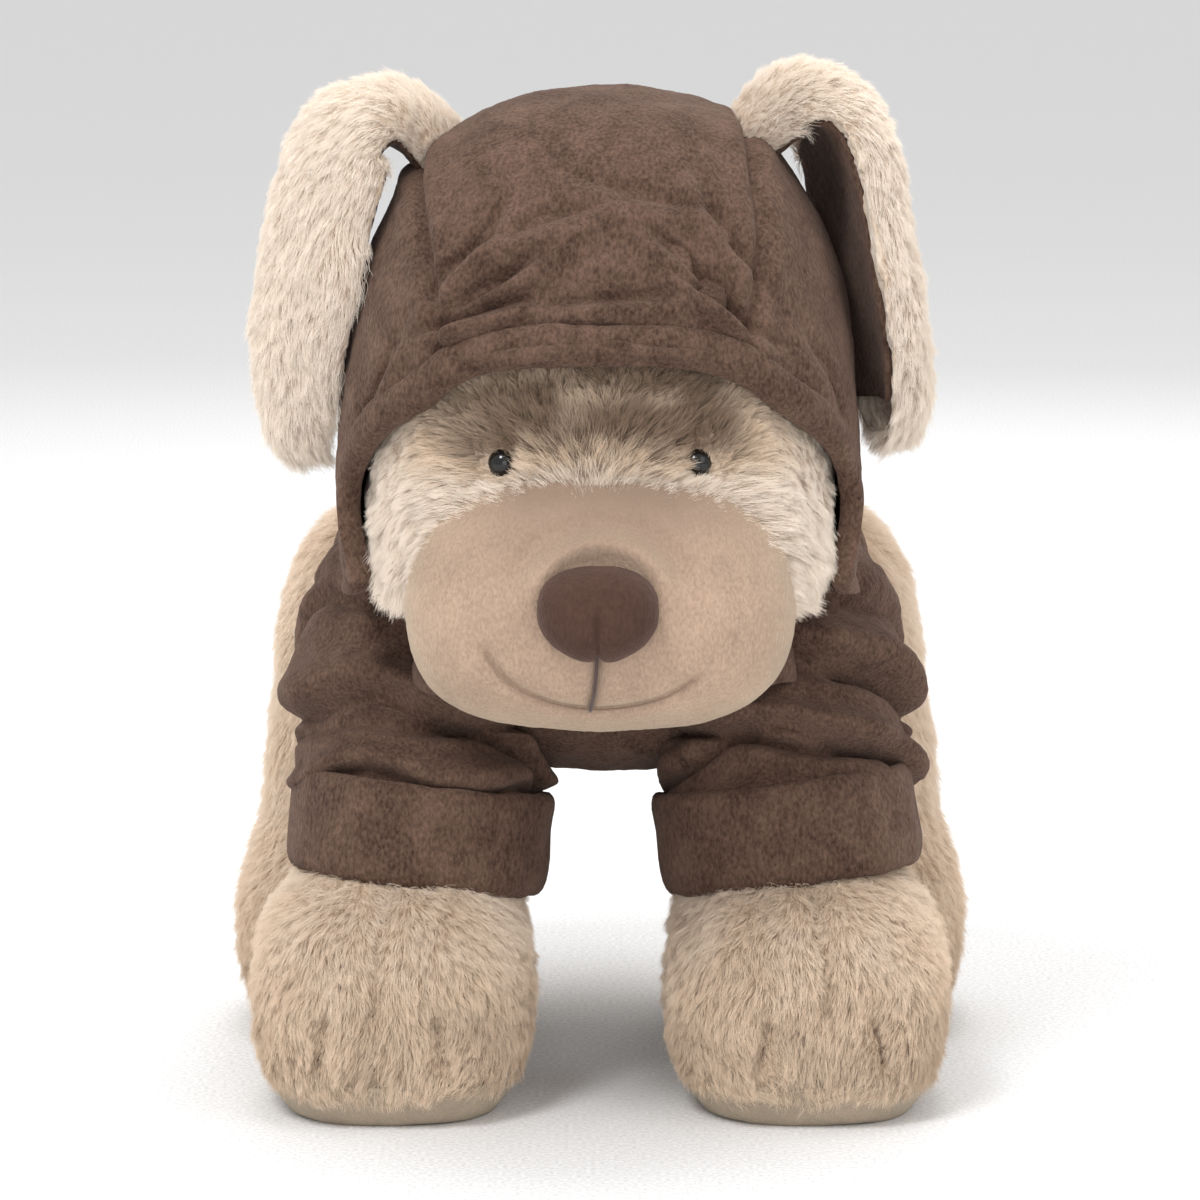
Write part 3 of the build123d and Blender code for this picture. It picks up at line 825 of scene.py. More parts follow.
SMILE = [  # x and z of the smile's thread, from one end to the other
    (-35, 161), (-32, 156), (-26, 150), (-15, 144.5), (-3, 142), (9, 143), (20, 146.5), (29, 152),
]
LIP = [(-0.5, NOSE_MIDDLE[2] - 10), (-1.5, 150), (-3, 141.5)]  # x and z, from the nose down to the smile
BEFORE_MUZZLE = -170  # a place along Y in front of it, from which threads are laid


def muzzle_field():
    """The muzzle with its two jowls."""
    head = sizes("dog_head")
    wide, high = head.muzzle_half_width / MM, head.muzzle_half_height / MM
    x, y, z = MUZZLE_MIDDLE[0], HEAD_CENTRE[1] - 50, 174.0
    main = Blob((x, y, z), (wide - 1.5, 43.5, high), 2.35)
    jowls = [Blob((side * 27, y - 6, z - 9), (31, 35, 28), 2.2) for side in SIDES.values()]
    return merged([main, *jowls], 3.0)


def nose_ring(points):
    """Height of the soft fold that arches over the nose."""
    x = points[:, 0] - NOSE_MIDDLE[0]
    z = points[:, 2] - NOSE_MIDDLE[2]
    away = np.sqrt((x / 1.12) ** 2 + z**2)
    over = rising(z, -4, 11) * rising(-points[:, 1], 118, 132)
    return over * (4.2 * bump(away - 18.0, 3.4) - 1.5 * bump(away - 25.5, 3.0))


class DOG_OT_muzzle(Operator):
    """Sew and fill the fleece muzzle with its smile"""

    bl_idname = "dog.muzzle"
    bl_label = "Muzzle"

    def execute(self, context):
        centre = (0, MUZZLE_MIDDLE[1] + 8, 172)
        muzzle = wrapped("muzzle_fleece", centre, muzzle_field(), FINE_BALL, "head", material("fleece"))
        push(muzzle, lambda points, normals: nose_ring(points) + 0.5 * cloudy(points, 16.0, 31)
             + 0.10 * cloudy(points, 1.6, 35))
        smile = curve_through([(x, BEFORE_MUZZLE, z) for x, z in SMILE], 60)
        lip = curve_through([(x, BEFORE_MUZZLE, z) for x, z in LIP], 24)
        near_threads = point_tree([self.front_of(muzzle, point) for point in [*smile, *lip]])

        def crease(points, normals):
            away = np.array([near_threads.find(Vector(point))[2] for point in points])
            return -1.3 * bump(away, 1.8) + 0.5 * bump(away - 5.0, 3.0)

        push(muzzle, crease)
        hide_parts("muzzle_skin", "muzzle_stuffing")
        for name, line, radius, finish, stitch in (("mouth_thread", smile, 0.35, "seam", "mouth_stitch"),
                                                   ("lip_thread", lip, 0.6, "thread", "lip_stitch")):
            onto = [self.front_of(muzzle, point) for point in line]
            sewn = thread(name, onto, radius, "head", material(finish))
            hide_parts(stitch)
        return {"FINISHED"}

    def front_of(self, piece, point):
        """The piece's surface straight behind a point in front of it."""
        if not hasattr(self, "tree") or self.tree[0] != piece.name:
            self.tree = (piece.name, surface_tree(piece))
        hit = self.tree[1].ray_cast(Vector(np.array(point) * MM), Vector((0, 1, 0)))
        if hit[0] is None:
            raise RuntimeError(f"nothing of {piece.name} lies behind {tuple(point)}")
        return np.array(hit[0]) / MM


class DOG_OT_nose(Operator):
    """Sew the velour nose"""

    bl_idname = "dog.nose"
    bl_label = "Nose"

    def execute(self, context):
        wide = sizes("dog_head").nose_half_width / MM
        centre = NOSE_MIDDLE + np.array([-0.6, 5.5, -0.5])
        main = Blob(centre, (wide, 14.5, 12.9), 2.35)
        chin = Blob(centre + np.array([0, -1, -4]), (wide * 0.72, 13.5, 11), 2.3)
        nose = wrapped("nose_velour", centre, merged([main, chin], 2.0), PLAIN_BALL, "head", material("nose"))

        def folds(points, normals):
            x, z = points[:, 0] - centre[0], points[:, 2] - centre[2]
            seam = bump(x, 1.1) * rising(-z, -4, 3)
            nostrils = bump(np.abs(x) - 5, 3.5) * rising(-z, -6, 4)
            return -1.5 * seam + 0.5 * nostrils + 0.25 * cloudy(points, 7.0, 41)

        push(nose, folds)
        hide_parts("nose_cover", "nose_stuffing")
        return {"FINISHED"}


class DOG_OT_eyes(Operator):
    """Give the safety eyes and their washers their moulded finish"""

    bl_idname = "dog.eyes"
    bl_label = "Eyes"

    def execute(self, context):
        for side in SIDES:
            for name, finish in ((f"eye_{side}", "eye"), (f"eye_washer_{side}", "washer")):
                refinish(name, finish)
        return {"FINISHED"}


# ---------------------------------------------------------------- hood
HOOD_FOLDS = (
    # x, z of the middle, length, turn in degrees from level, height, width
    (-36, 258, 30, 22, 2.6, 3.4), (-30, 268, 34, 34, 2.2, 3.6), (-38, 278, 30, 50, 1.8, 3.6),
    (-22, 251, 40, 6, 2.4, 3.0), (34, 262, 30, -32, 2.6, 3.4), (27, 272, 36, -44, 2.2, 3.6),
    (36, 284, 30, -58, 1.8, 3.6), (20, 252, 44, -6, 2.4, 3.0), (4, 263, 50, 3, 1.2, 4.0),
    (-66, 236, 34, 62, 1.6, 4.0), (68, 236, 30, -66, 1.6, 4.0), (-14, 285, 44, 16, 1.2, 5.0),
    (14, 292, 40, -14, 1.2, 5.0),
)


HOOD_AROUND, HOOD_ROWS, HOOD_INNER_ROWS = 560, 150, 20  # points of the cloth's layers
HOOD_TOP = 0.012  # share of the way to the rim where the rows start
RIM_SECTION = (
    # share of the band's width, height over the cloth's middle in mm
    (-0.02, 0.8), (0.1, 2.9), (0.3, 4.1), (0.6, 4.4), (0.85, 3.9), (1.0, 2.2), (1.06, -0.4),
    (1.0, -2.6), (0.7, -3.4), (0.3, -3.0), (0.05, -1.2),
)
RIM_RADIUS = 86.0  # millimetres from the head's centre
RIM_OVERHANG = 0.012  # radians past the cloth's edge


def seam_distance(points):
    """Where the two seams of the hood's centre panel run, as a distance to the nearer one."""
    left = 47.0 + 2.0 * np.sin(points[:, 2] / 14)
    right = -(50.0 + 0.1 * np.clip(points[:, 2] - 250, 0, 60) + 1.5 * np.sin(points[:, 2] / 11))
    return np.minimum(np.abs(points[:, 0] - left), np.abs(points[:, 0] - right))


def hood_relief(points, normals):
    """Seams, gathers and soft dents of the hood."""
    front = rising(-(points[:, 1] - HEAD_CENTRE[1]), -10, 25)
    seam = seam_distance(points)
    pucker = 1 + 0.6 * noise(points, 7.0, 59)
    height = -2.8 * bump(seam, 1.5) + 1.6 * pucker * bump(seam - 5.0, 3.2)
    for x, z, span, turn, tall, wide in HOOD_FOLDS:
        cos, sin = math.cos(math.radians(turn)), math.sin(math.radians(turn))
        dx, dz = points[:, 0] - x, points[:, 2] - z
        along, across = dx * cos + dz * sin, -dx * sin + dz * cos
        across = across + 1.6 * noise(points, 15.0, int(abs(x * 3 + z)))
        window = bump(along, span / 2)
        ridge = bump(across, wide * 0.85) - 1.3 * bump(across - 1.2 * wide, wide * 0.42)
        height = height + front * window * 2.1 * tall * ridge
    back = (1 - front) * 1.6 * cloudy(points, 38.0, 57)
    return height + back + 0.9 * cloudy(points, 26.0, 51) + 0.16 * cloudy(points, CLOTH_GRAIN, 53)


def hood_surface(turn, tilt, grow):
    """Points of the hood's cloth layer, level under the chin."""
    rays = hood_rays(turn, tilt)
    points = HEAD_CENTRE + rays * head_reach(rays, grow)[:, None]
    points[:, 2] = np.maximum(points[:, 2], NECK_LEVEL)
    return points


class DOG_OT_hood(Operator):
    """Sew the hood from its centre and side panels, with its rim"""

    bl_idname = "dog.hood"
    bl_label = "Hood"

    def execute(self, context):
        head = sizes("dog_head")
        gap, cloth = head.hood_gap / MM, head.cloth / MM
        turn = full_turn(HOOD_AROUND)
        rim = opening_angle(turn)
        outer = [hood_surface(turn, rim * part, gap + cloth) for part in np.linspace(HOOD_TOP, 1, HOOD_ROWS)]
        inner = [hood_surface(turn, rim * part, gap) for part in np.linspace(1, HOOD_TOP, HOOD_INNER_ROWS)]
        points, faces = tube(outer + inner)
        hood = make_piece("hood", points, faces, "head", material("velour"))

        def relief(points, normals):
            height = hood_relief(points, normals)
            inside = np.arange(len(points)) >= HOOD_ROWS * HOOD_AROUND
            return np.where(inside, -0.8 * height, height)

        push(hood, relief)
        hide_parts("hood_centre_panel", "hood_side_panel_left", "hood_side_panel_right",
                    "ear_root_left", "ear_root_right")
        self.rim(turn, rim, gap, cloth, head.rim_width / MM)
        return {"FINISHED"}

    def rim(self, turn, rim, gap, cloth, width):
        """The rolled edge band around the face."""
        loops = []
        for share, height in RIM_SECTION:
            tilt = rim - (1 - share) * width / RIM_RADIUS
            loops.append(hood_surface(turn, tilt + RIM_OVERHANG, gap + cloth / 2 + height))
        faces = band_faces(len(loops), len(turn))
        band = make_piece("hood_edge", np.concatenate(loops), faces, "head", material("velour"))
        rounded(band)
        push(band, lambda points, normals: 0.6 * cloudy(points, 14.0, 61) + 0.25 * cloudy(points, 4.0, 63))
        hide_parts("hood_rim")


# ---------------------------------------------------------------- ears
EAR_LINES = {
    # x and z down the middle of each ear, from its slit over the fold to the tip
    "left": [(46, 302), (53, 313), (62, 321), (72, 318), (79, 304), (84, 281), (91, 250), (97, 217)],
    "right": [(50, 301), (57, 310), (66, 316), (77, 313), (85, 300), (91, 281), (97, 250), (98, 212)],
}
EAR_YAW = {"left": 13.0, "right": -20.0}  # degrees that the ear's face turns forwards or back
EAR_SEED = {"left": 71, "right": 75}
EAR_CUP = 7.0  # how deep the ear curls at its tip


def ear_thickness(share):
    """How thick the ear is from its root, 0, to its tip, 1."""
    return 7.4 - 1.6 * rising(share, 0.3, 0.9)


class DOG_OT_ears(Operator):
    """Sew the hanging ears: fur outside, velour lining inside"""

    bl_idname = "dog.ears"
    bl_label = "Ears"

    def execute(self, context):
        for side, sign in SIDES.items():
            self.ear(side, sign)
        return {"FINISHED"}

    def ear(self, side, sign):
        line = curve_through(EAR_LINES[side], 120)
        share = np.linspace(0, 1, len(line))
        y = joint_place(f"ear_{side}_flop")[1] - 2 - 3 * share
        middle = np.stack([sign * line[:, 0], y, line[:, 1]], axis=1)
        along = unit(np.gradient(middle, axis=0))
        yaw = math.radians(EAR_YAW[side]) * rising(share, 0.05, 0.4)
        across = np.stack([sign * np.sin(yaw), -np.cos(yaw), np.zeros_like(yaw)], axis=1)
        across = along_surface(across, along)
        out = unit(np.cross(across, along)) * sign
        half = 21 + 16 * rising(share, 0.05, 0.55)
        tip = np.clip((share - 0.70) / 0.30, 0, 1)
        half = half * np.sqrt(np.maximum(1 - tip**2.3, 0.0004))
        thick = ear_thickness(share) * np.sqrt(np.maximum(1 - tip**4, 0.01))
        turn = full_turn(96)
        wide, deep = np.cos(turn), np.sign(np.sin(turn)) * np.abs(np.sin(turn)) ** 0.72
        rings = []
        for row in range(len(share)):
            cup = EAR_CUP * wide**2 * share[row]
            depth = np.where(deep > 0, deep * thick[row] * 1.6, deep * thick[row] * 0.55) - cup
            rings.append(middle[row] + np.outer(wide * half[row], across[row]) + np.outer(depth, out[row]))
        points, faces = tube(rings)
        root, body = "head", f"ear_{side}"
        fur = make_piece(f"ear_{side}_fur", points, faces, None, material("undercoat"))
        down = point_tree(middle)

        def rows_near(places):
            return [down.find(Vector(place))[1] for place in places]

        def comb(places, normals):
            nearest = rows_near(places)
            return along[nearest] + unit(places - middle[nearest]) * 0.35

        push(fur, tufted(8.0, comb, EAR_SEED[side]))
        fold = joint_place(f"ear_{side}_flop") * MM
        start = fold + np.array([-sign * 0.012, 0, -0.004])
        end = fold + np.array([sign * 0.012, 0, -0.006])
        self.lining(side, middle, out, across, half, share, start, end)
        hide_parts(f"ear_plush_{side}")

        def outer_only(places, normals):
            facing = (normals * out[rows_near(places)]).sum(axis=1)
            return rising(facing, -0.5, 0.05)

        def short(roots):
            return 0.6 + 0.4 * rising(share[rows_near(roots)], 0.05, 0.3)

        pile = sizes("dog_fur").ear_pile / MM
        grow_fur(fur, body, material("strands"), pile, comb, outer_only, lift=0.42, lean=0.9, clump=0.35,
                 seed=EAR_SEED[side] + 10, short=short, density=1.35)
        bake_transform(fur)

    def lining(self, side, middle, out, across, half, share, start, end):
        """The velour on the inner face, set in from the fur edge."""
        wide = np.linspace(-0.86, 0.86, 40)
        rows = range(6, len(share) - 7)
        sheet = {1: [], -1: []}
        for row in rows:
            inner = -EAR_CUP * wide**2 * share[row]
            thick = ear_thickness(share[row]) * 0.55
            depth = inner - thick * (1 - np.abs(wide) ** 3.0) ** 0.5
            flat = middle[row] + np.outer(wide * half[row], across[row])
            for layer in sheet:
                sheet[layer].append(flat + np.outer(depth - 1.3 + layer * 0.9, out[row]))
        rings = [np.concatenate([top, bottom[::-1]]) for top, bottom in zip(sheet[-1], sheet[1])]
        points, faces = tube(rings)
        lining = make_piece(f"ear_{side}_lining", points, faces, None, material("velour"))
        push(lining, lambda places, normals: 0.5 * cloudy(places, 12.0, 91)
             + 0.15 * cloudy(places, CLOTH_GRAIN, 93))
        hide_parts(f"ear_lining_{side}")
        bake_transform(lining)


# ---------------------------------------------------------------- torso, hoodie body and tail
def torso_field(grow=0.0):
    """The torso with its rump and chest, larger all round by grow."""
    y, z = TORSO_MIDDLE[1], TORSO_MIDDLE[2]
    parts = [((0, y, z + 2), (84, 84, 52), 2.3), ((0, y + 40, z - 4), (74, 46, 52), 2.2),
             ((0, y - 44, z - 6), (60, 32, 40), 2.2)]
    return merged([Blob(centre, np.array(half) + grow, power) for centre, half, power in parts], 5.0)


def body_comb(points, normals):
    """Body fur runs back from the shoulders and down the sides."""
    return unit(np.tile([0.0, 1.0, -0.6], (len(points), 1)))


HEM_Y = node_middle("hoodie_hem")[1]
TAIL_LEAN = 50  # degrees back from straight down
BODY_AROUND, BODY_ROWS, BODY_INNER_ROWS = 300, 120, 40  # points of the cloth's layers
BODY_OUTSIDE, BODY_INSIDE = 4.6, 2.2  # millimetres from the torso's skin
HEM_SECTION = (
    # millimetres past the cloth's edge, millimetres from the torso's skin
    (-8.5, 5.0), (-7.5, 6.4), (-4, 7.4), (-0.5, 7.0), (0.9, 5.4), (0.4, 3.4), (-3, 2.4), (-7, 3.2),
)
HEM_RADIUS = 92.0  # millimetres from the torso's middle


class DOG_OT_torso(Operator):
    """Sew and fill the torso, with fur behind the hoodie's hem"""

    bl_idname = "dog.torso"
    bl_label = "Torso"

    def execute(self, context):
        skin = wrapped("torso_fur", TORSO_MIDDLE, torso_field(), FINE_BALL, "torso", material("undercoat"))
        push(skin, tufted(9.0, body_comb, 101))
        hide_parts("torso_skin")
        pile = sizes("dog_fur").body_pile / MM
        grow_fur(skin, "torso", material("strands"), pile, body_comb,
                 lambda points, normals: rising(points[:, 1], HEM_Y - 4, HEM_Y + 2),
                 lift=0.4, lean=0.8, seed=105, density=0.75)
        return {"FINISHED"}


class DOG_OT_tail(Operator):
    """Sew and fill the tail"""

    bl_idname = "dog.tail"
    bl_label = "Tail"

    def execute(self, context):
        middle = node_middle("tail_stuffing")
        lean = math.radians(TAIL_LEAN)
        along = np.array([0, math.sin(lean), -math.cos(lean)])
        body = Blob(middle, (14.5, 15.5, 37), 2.2, turn=(TAIL_LEAN, 0, 0))
        root = Blob(TAIL_JOINT, (11, 12, 12))
        skin = wrapped("tail_fur", middle - along * 6, merged([body, root], 3.0), PLAIN_BALL, "tail",
                       material("undercoat"))

        def comb(points, normals):
            return np.tile(along, (len(points), 1))

        push(skin, tufted(9.0, comb, 111))
        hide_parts("tail_skin", "tail_stuffing")
        grow_fur(skin, "tail", material("strands"), sizes("dog_fur").body_pile / MM, comb, everywhere,
                 lift=0.4, lean=0.8, seed=115, density=1.0)
        return {"FINISHED"}


class DOG_OT_hoodie(Operator):
    """Sew the hoodie's body, its hem and the neck inside its collar"""

    bl_idname = "dog.hoodie"
    bl_label = "Hoodie body"

    def execute(self, context):
        centre = TORSO_MIDDLE + np.array([0, -8, 0])
        turn = full_turn(BODY_AROUND)
        outer = self.layers(centre, turn, BODY_ROWS, BODY_OUTSIDE)
        inner = self.layers(centre, turn, BODY_INNER_ROWS, BODY_INSIDE)[::-1]
        points, faces = tube(outer + inner)
        body = make_piece("hoodie_body_cloth", points, faces, "torso", material("velour"))

        def relief(points, normals):
            height = 1.7 * cloudy(points, 30.0, 121) + 0.15 * cloudy(points, CLOTH_GRAIN, 123)
            height = height + 1.2 * (1 - 2 * np.abs(noise(points * np.array([1, 0.5, 1]), 17.0, 125)))
            return np.where(np.arange(len(points)) >= BODY_ROWS * BODY_AROUND, -0.7 * height, height)

        push(body, relief)
        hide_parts("hoodie_body")
        self.hem(centre, turn)
        self.collar()
        return {"FINISHED"}

    def rays(self, turn, tilt):
        """Directions around the axis that runs forwards through the chest."""
        return np.stack([np.sin(turn) * np.sin(tilt), -np.cos(tilt), np.cos(turn) * np.sin(tilt)], axis=1)

    def edge_tilt(self, centre, turn, grow):
        """The tilt at which the cloth meets the hem's plane."""
        low, high = np.full(len(turn), 0.8), np.full(len(turn), 2.6)
        for _ in range(14):
            middle = (low + high) / 2
            points = reach_out(centre, self.rays(turn, middle), torso_field(grow))
            before = points[:, 1] < HEM_Y
            low, high = np.where(before, middle, low), np.where(before, high, middle)
        return low

    def layers(self, centre, turn, rows, grow):
        """Rows of points from the chest to the hem."""
        edge = self.edge_tilt(centre, turn, grow)
        field = torso_field(grow)
        return [reach_out(centre, self.rays(turn, edge * part), field) for part in np.linspace(0.01, 1, rows)]

    def hem(self, centre, turn):
        """The doubled and stitched band around the hoodie's lower edge."""
        edge = self.edge_tilt(centre, turn, BODY_OUTSIDE)
        loops = [reach_out(centre, self.rays(turn, edge + back / HEM_RADIUS), torso_field(grow))
                 for back, grow in HEM_SECTION]
        faces = band_faces(len(loops), len(turn))
        hem = make_piece("hoodie_hem_band", np.concatenate(loops), faces, "torso", material("velour"))
        push(hem, lambda points, normals: 0.5 * cloudy(points, 16.0, 131) + 0.2 * cloudy(points, 4.0, 133))
        rounded(hem)
        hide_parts("hoodie_hem")

    def collar(self):
        """The hoodie's neck, a soft tube from the shoulders up into the hood."""
        rows = []
        turn = full_turn(160)
        for share in np.linspace(0, 1, 30):
            radius = 50 + 9 * math.cos(share * math.pi) + 2.0 * np.sin(turn * 5 + share * 2)
            height = NECK_LEVEL - 32 + 44 * share
            y = NECK_MIDDLE[1] + 4 - radius * np.cos(turn) * 0.92
            rows.append(np.stack([radius * np.sin(turn) * 1.05, y, np.full(len(turn), height)], axis=1))
        points, faces = tube(rows)
        collar = make_piece("hoodie_neck", points, faces, None, material("velour"))
        push(collar, lambda points, normals: 1.6 * cloudy(points, 18.0, 141))
        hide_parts("hoodie_collar", "neck_stuffing")
        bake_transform(collar)


# ---------------------------------------------------------------- legs
LEG_FUR = {
    # height where the strands stop in mm, strands beside the usual density, toes' shift outwards in mm
    "front": (78.0, 1.4, 2.0),
    "hind": (185.0, 0.6, 3.0),
}
LEG_SEED = {"front": {"left": 151, "right": 152}, "hind": {"left": 171, "right": 172}}
BEFORE_PAW = 120  # millimetres in front of a paw's middle, from which its seams are laid


def leg_field(sign, parts, soft):
    """The field of a leg's parts, on the side of the sign."""
    return merged([Blob((sign * x, y, z), half, power) for (x, y, z), half, power in parts], soft)


def front_leg_field(sign):
    x, y = FRONT_PAW[0], FRONT_PAW[1]
    parts = [((x - 1, y - 1, 36), (41.5, 46, 41), 2.7), ((x - 6, y + 12, 72), (31, 28, 44), 2.3),
             ((x - 8, y + 28, 108), (26, 24, 40), 2.2)]
    return leg_field(sign, parts, 4.0)


def hind_leg_field(sign):
    x, y = HIND_PAW[0], HIND_PAW[1]
    parts = [((x + 1, y - 6, 35), (45, 51, 40), 2.6), ((x - 2, y + 2, 76), (39, 44, 50), 2.3),
             ((x - 4, HIND_JOINT[1], 124), (36, 52, 56), 2.3)]
    return leg_field(sign, parts, 5.0)


def leg_comb(points, normals):
    """Leg fur runs down, and forwards over the toes."""
    low = rising(-points[:, 2], -55, -15)
    return unit(np.stack([np.zeros(len(points)), -0.9 * low, -1.0 + 0.35 * low], axis=1))


def toe_lines(sign, paw, toe_out):
    """The toe stitches of a paw, as x and z seen from the front."""
    middle = sign * (paw[0] + toe_out)
    return [[(middle + across, 38), (middle + across * 1.1, 31), (middle + across * 1.2, 22)]
            for across in (-16.0, 17.0)]


class DOG_OT_legs(Operator):
    """Sew and fill the four legs, with their soles and toe stitches"""

    bl_idname = "dog.legs"
    bl_label = "Legs"

    def execute(self, context):
        for side, sign in SIDES.items():
            self.leg("front", side, sign, front_leg_field(sign), FRONT_PAW)
            self.leg("hind", side, sign, hind_leg_field(sign), HIND_PAW)
        return {"FINISHED"}

    def leg(self, pair, side, sign, field, paw):
        body, seed = f"{pair}_leg_{side}", LEG_SEED[pair][side]
        top, density, toe_out = LEG_FUR[pair]
        centre = np.array([sign * paw[0], paw[1] + 4, 58.0])

        def standing(points):
            return np.maximum(field(points), 2.2 - points[:, 2])

        skin = wrapped(f"{pair}_leg_{side}_fur", centre, standing, FINE_BALL, body, material("leg_undercoat"))
        lines = toe_lines(sign, paw, toe_out)
        seam = [(sign * (paw[0] + out), z) for out, z in ((-2, 110), (-1, 80), (3, 52), (4, 40))]
        tree = surface_tree(skin)
        laid = []
        for line in [*lines, seam]:
            path = curve_through([(x, paw[1] - BEFORE_PAW, z) for x, z in line], 22)
            hits = [tree.ray_cast(Vector(point * MM), Vector((0, 1, 0)))[0] for point in path]
            laid.append([np.array(hit) / MM for hit in hits if hit is not None])
        near = point_tree([point for path in laid for point in path])

        def apart(points):
            return np.array([near.find(Vector(point))[2] for point in points])

        def crease(points, normals):
            away = apart(points)
            return -2.6 * bump(away, 3.0) + 0.8 * bump(away - 8.0, 4.0)

        push(skin, crease)
        push(skin, tufted(7.5, leg_comb, seed))
        low = mesh_points(skin.data)
        low[:, 2] = np.maximum(low[:, 2], 2.0)
        skin.data.vertices.foreach_set("co", (low * MM).ravel())
        skin.data.update()
        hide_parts(f"{pair}_leg_skin_{side}", f"{pair}_leg_stuffing_{side}")
        self.sole(pair, side, sign, field, paw, body)
        self.toes(pair, side, skin, laid[:2], body)

        def weight(points, normals):
            return rising(top - points[:, 2], 0, 6) * rising(points[:, 2], 10.0, 14.0)

        def short(roots):
            return 0.45 + 0.55 * rising(apart(roots), 1.0, 6.0)

        def tone(roots):
            # The legs' beige tone with random changes, lighter from 30 to 75 mm up: painted light on the top
            # of the paw, leaving painted shade near the floor.
            painted_top_light = rising(roots[:, 2], 30, 75)
            return np.clip(0.55 - 0.22 * painted_top_light + 0.10 * noise(roots, 12.0, seed), 0, 1)

        grow_fur(skin, body, material("strands"), sizes("dog_fur").paw_pile / MM, leg_comb, weight,
                 lift=0.5, lean=0.7, clump=0.3, seed=seed + 5, short=short, tone=tone, density=density)

    def sole(self, pair, side, sign, field, paw, body):
        """The knitted sole, flat on the ground and turned up at its edge."""

        def slab(points):
            edge = field(points + np.array([0, 0, 3.0])) - 1.6
            return np.maximum(np.maximum(edge, points[:, 2] - 14.5), 0.02 - points[:, 2])

        centre = (sign * paw[0], paw[1] - 2, 5.0)
        sole = wrapped(f"{pair}_sole_{side}", centre, slab, PLAIN_BALL, body, material("sole"))
        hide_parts(f"{pair}_paw_sole_{side}")

    def toes(self, pair, side, skin, lines, body):
        """Both toe stitches of a paw as one piece of thread."""
        sewn = [thread(f"toe_{pair}_{side}_{index}", line, 0.5, body, material("seam"), onto=skin, lift=0.3)
                for index, line in enumerate(lines)]
        with bpy.context.temp_override(active_object=sewn[0], selected_editable_objects=sewn):
            bpy.ops.object.join()
        sewn[0].name = f"{pair}_toe_threads_{side}"
        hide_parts(f"{pair}_toe_stitches_{side}")


# ---------------------------------------------------------------- sleeves
SLEEVE_LINE = [  # x, y, z of the middle, half width, half depth
    (50, 6, 160, 40, 42), (55, -6, 146, 42, 44), (59, -17, 129, 42, 43), (60, -27, 112, 40.5, 41),
    (60, -34, 98, 39, 40), (60, -39, 84, 38, 39),
]
SLEEVE_FOLDS = {
    # share down the sleeve, tilt in mm, turn of the tilt in degrees, height and width in mm,
    # turn of its strongest side in degrees
    "left": [(0.16, 9, -60, 3.2, 6.0, 60), (0.33, -10, 40, 4.2, 5.5, 100), (0.47, 12, -20, 3.8, 5.0, 20),
             (0.60, -9, 60, 4.4, 5.2, -30), (0.73, 8, 10, 4.0, 4.5, 60), (0.84, -5, -70, 3.0, 4.0, -10)],
    "right": [(0.14, -8, 70, 3.4, 6.5, 120), (0.30, 11, -30, 4.4, 6.0, 40), (0.46, -8, 20, 4.6, 5.5, -20),
              (0.62, 9, -60, 4.8, 6.0, 60), (0.76, -5, 30, 3.6, 4.5, 0), (0.86, 4, 80, 3.0, 4.0, 90)],
}
SLEEVE_SEED = {"left": 200, "right": 210}
CUFF_SECTION = (
    # height and distance from the cuff's middle in mm, around the folded cloth
    (-17, 38.6), (-15.8, 41.4), (-12, 43.4), (-4, 43.8), (6, 43.4), (13, 43.8), (16.8, 42.8),
    (17.6, 40.4), (15.5, 38.4), (10, 37.4), (0, 37.0), (-12, 36.8),
)
CUFF = {
    # x, y, z of the middle, tilt to the side and forwards in degrees
    "left": (61.0, -38.5, 86.5, 8.0, 7.0),
    "right": (58.5, -38.5, 85.5, 7.0, 8.0),
}


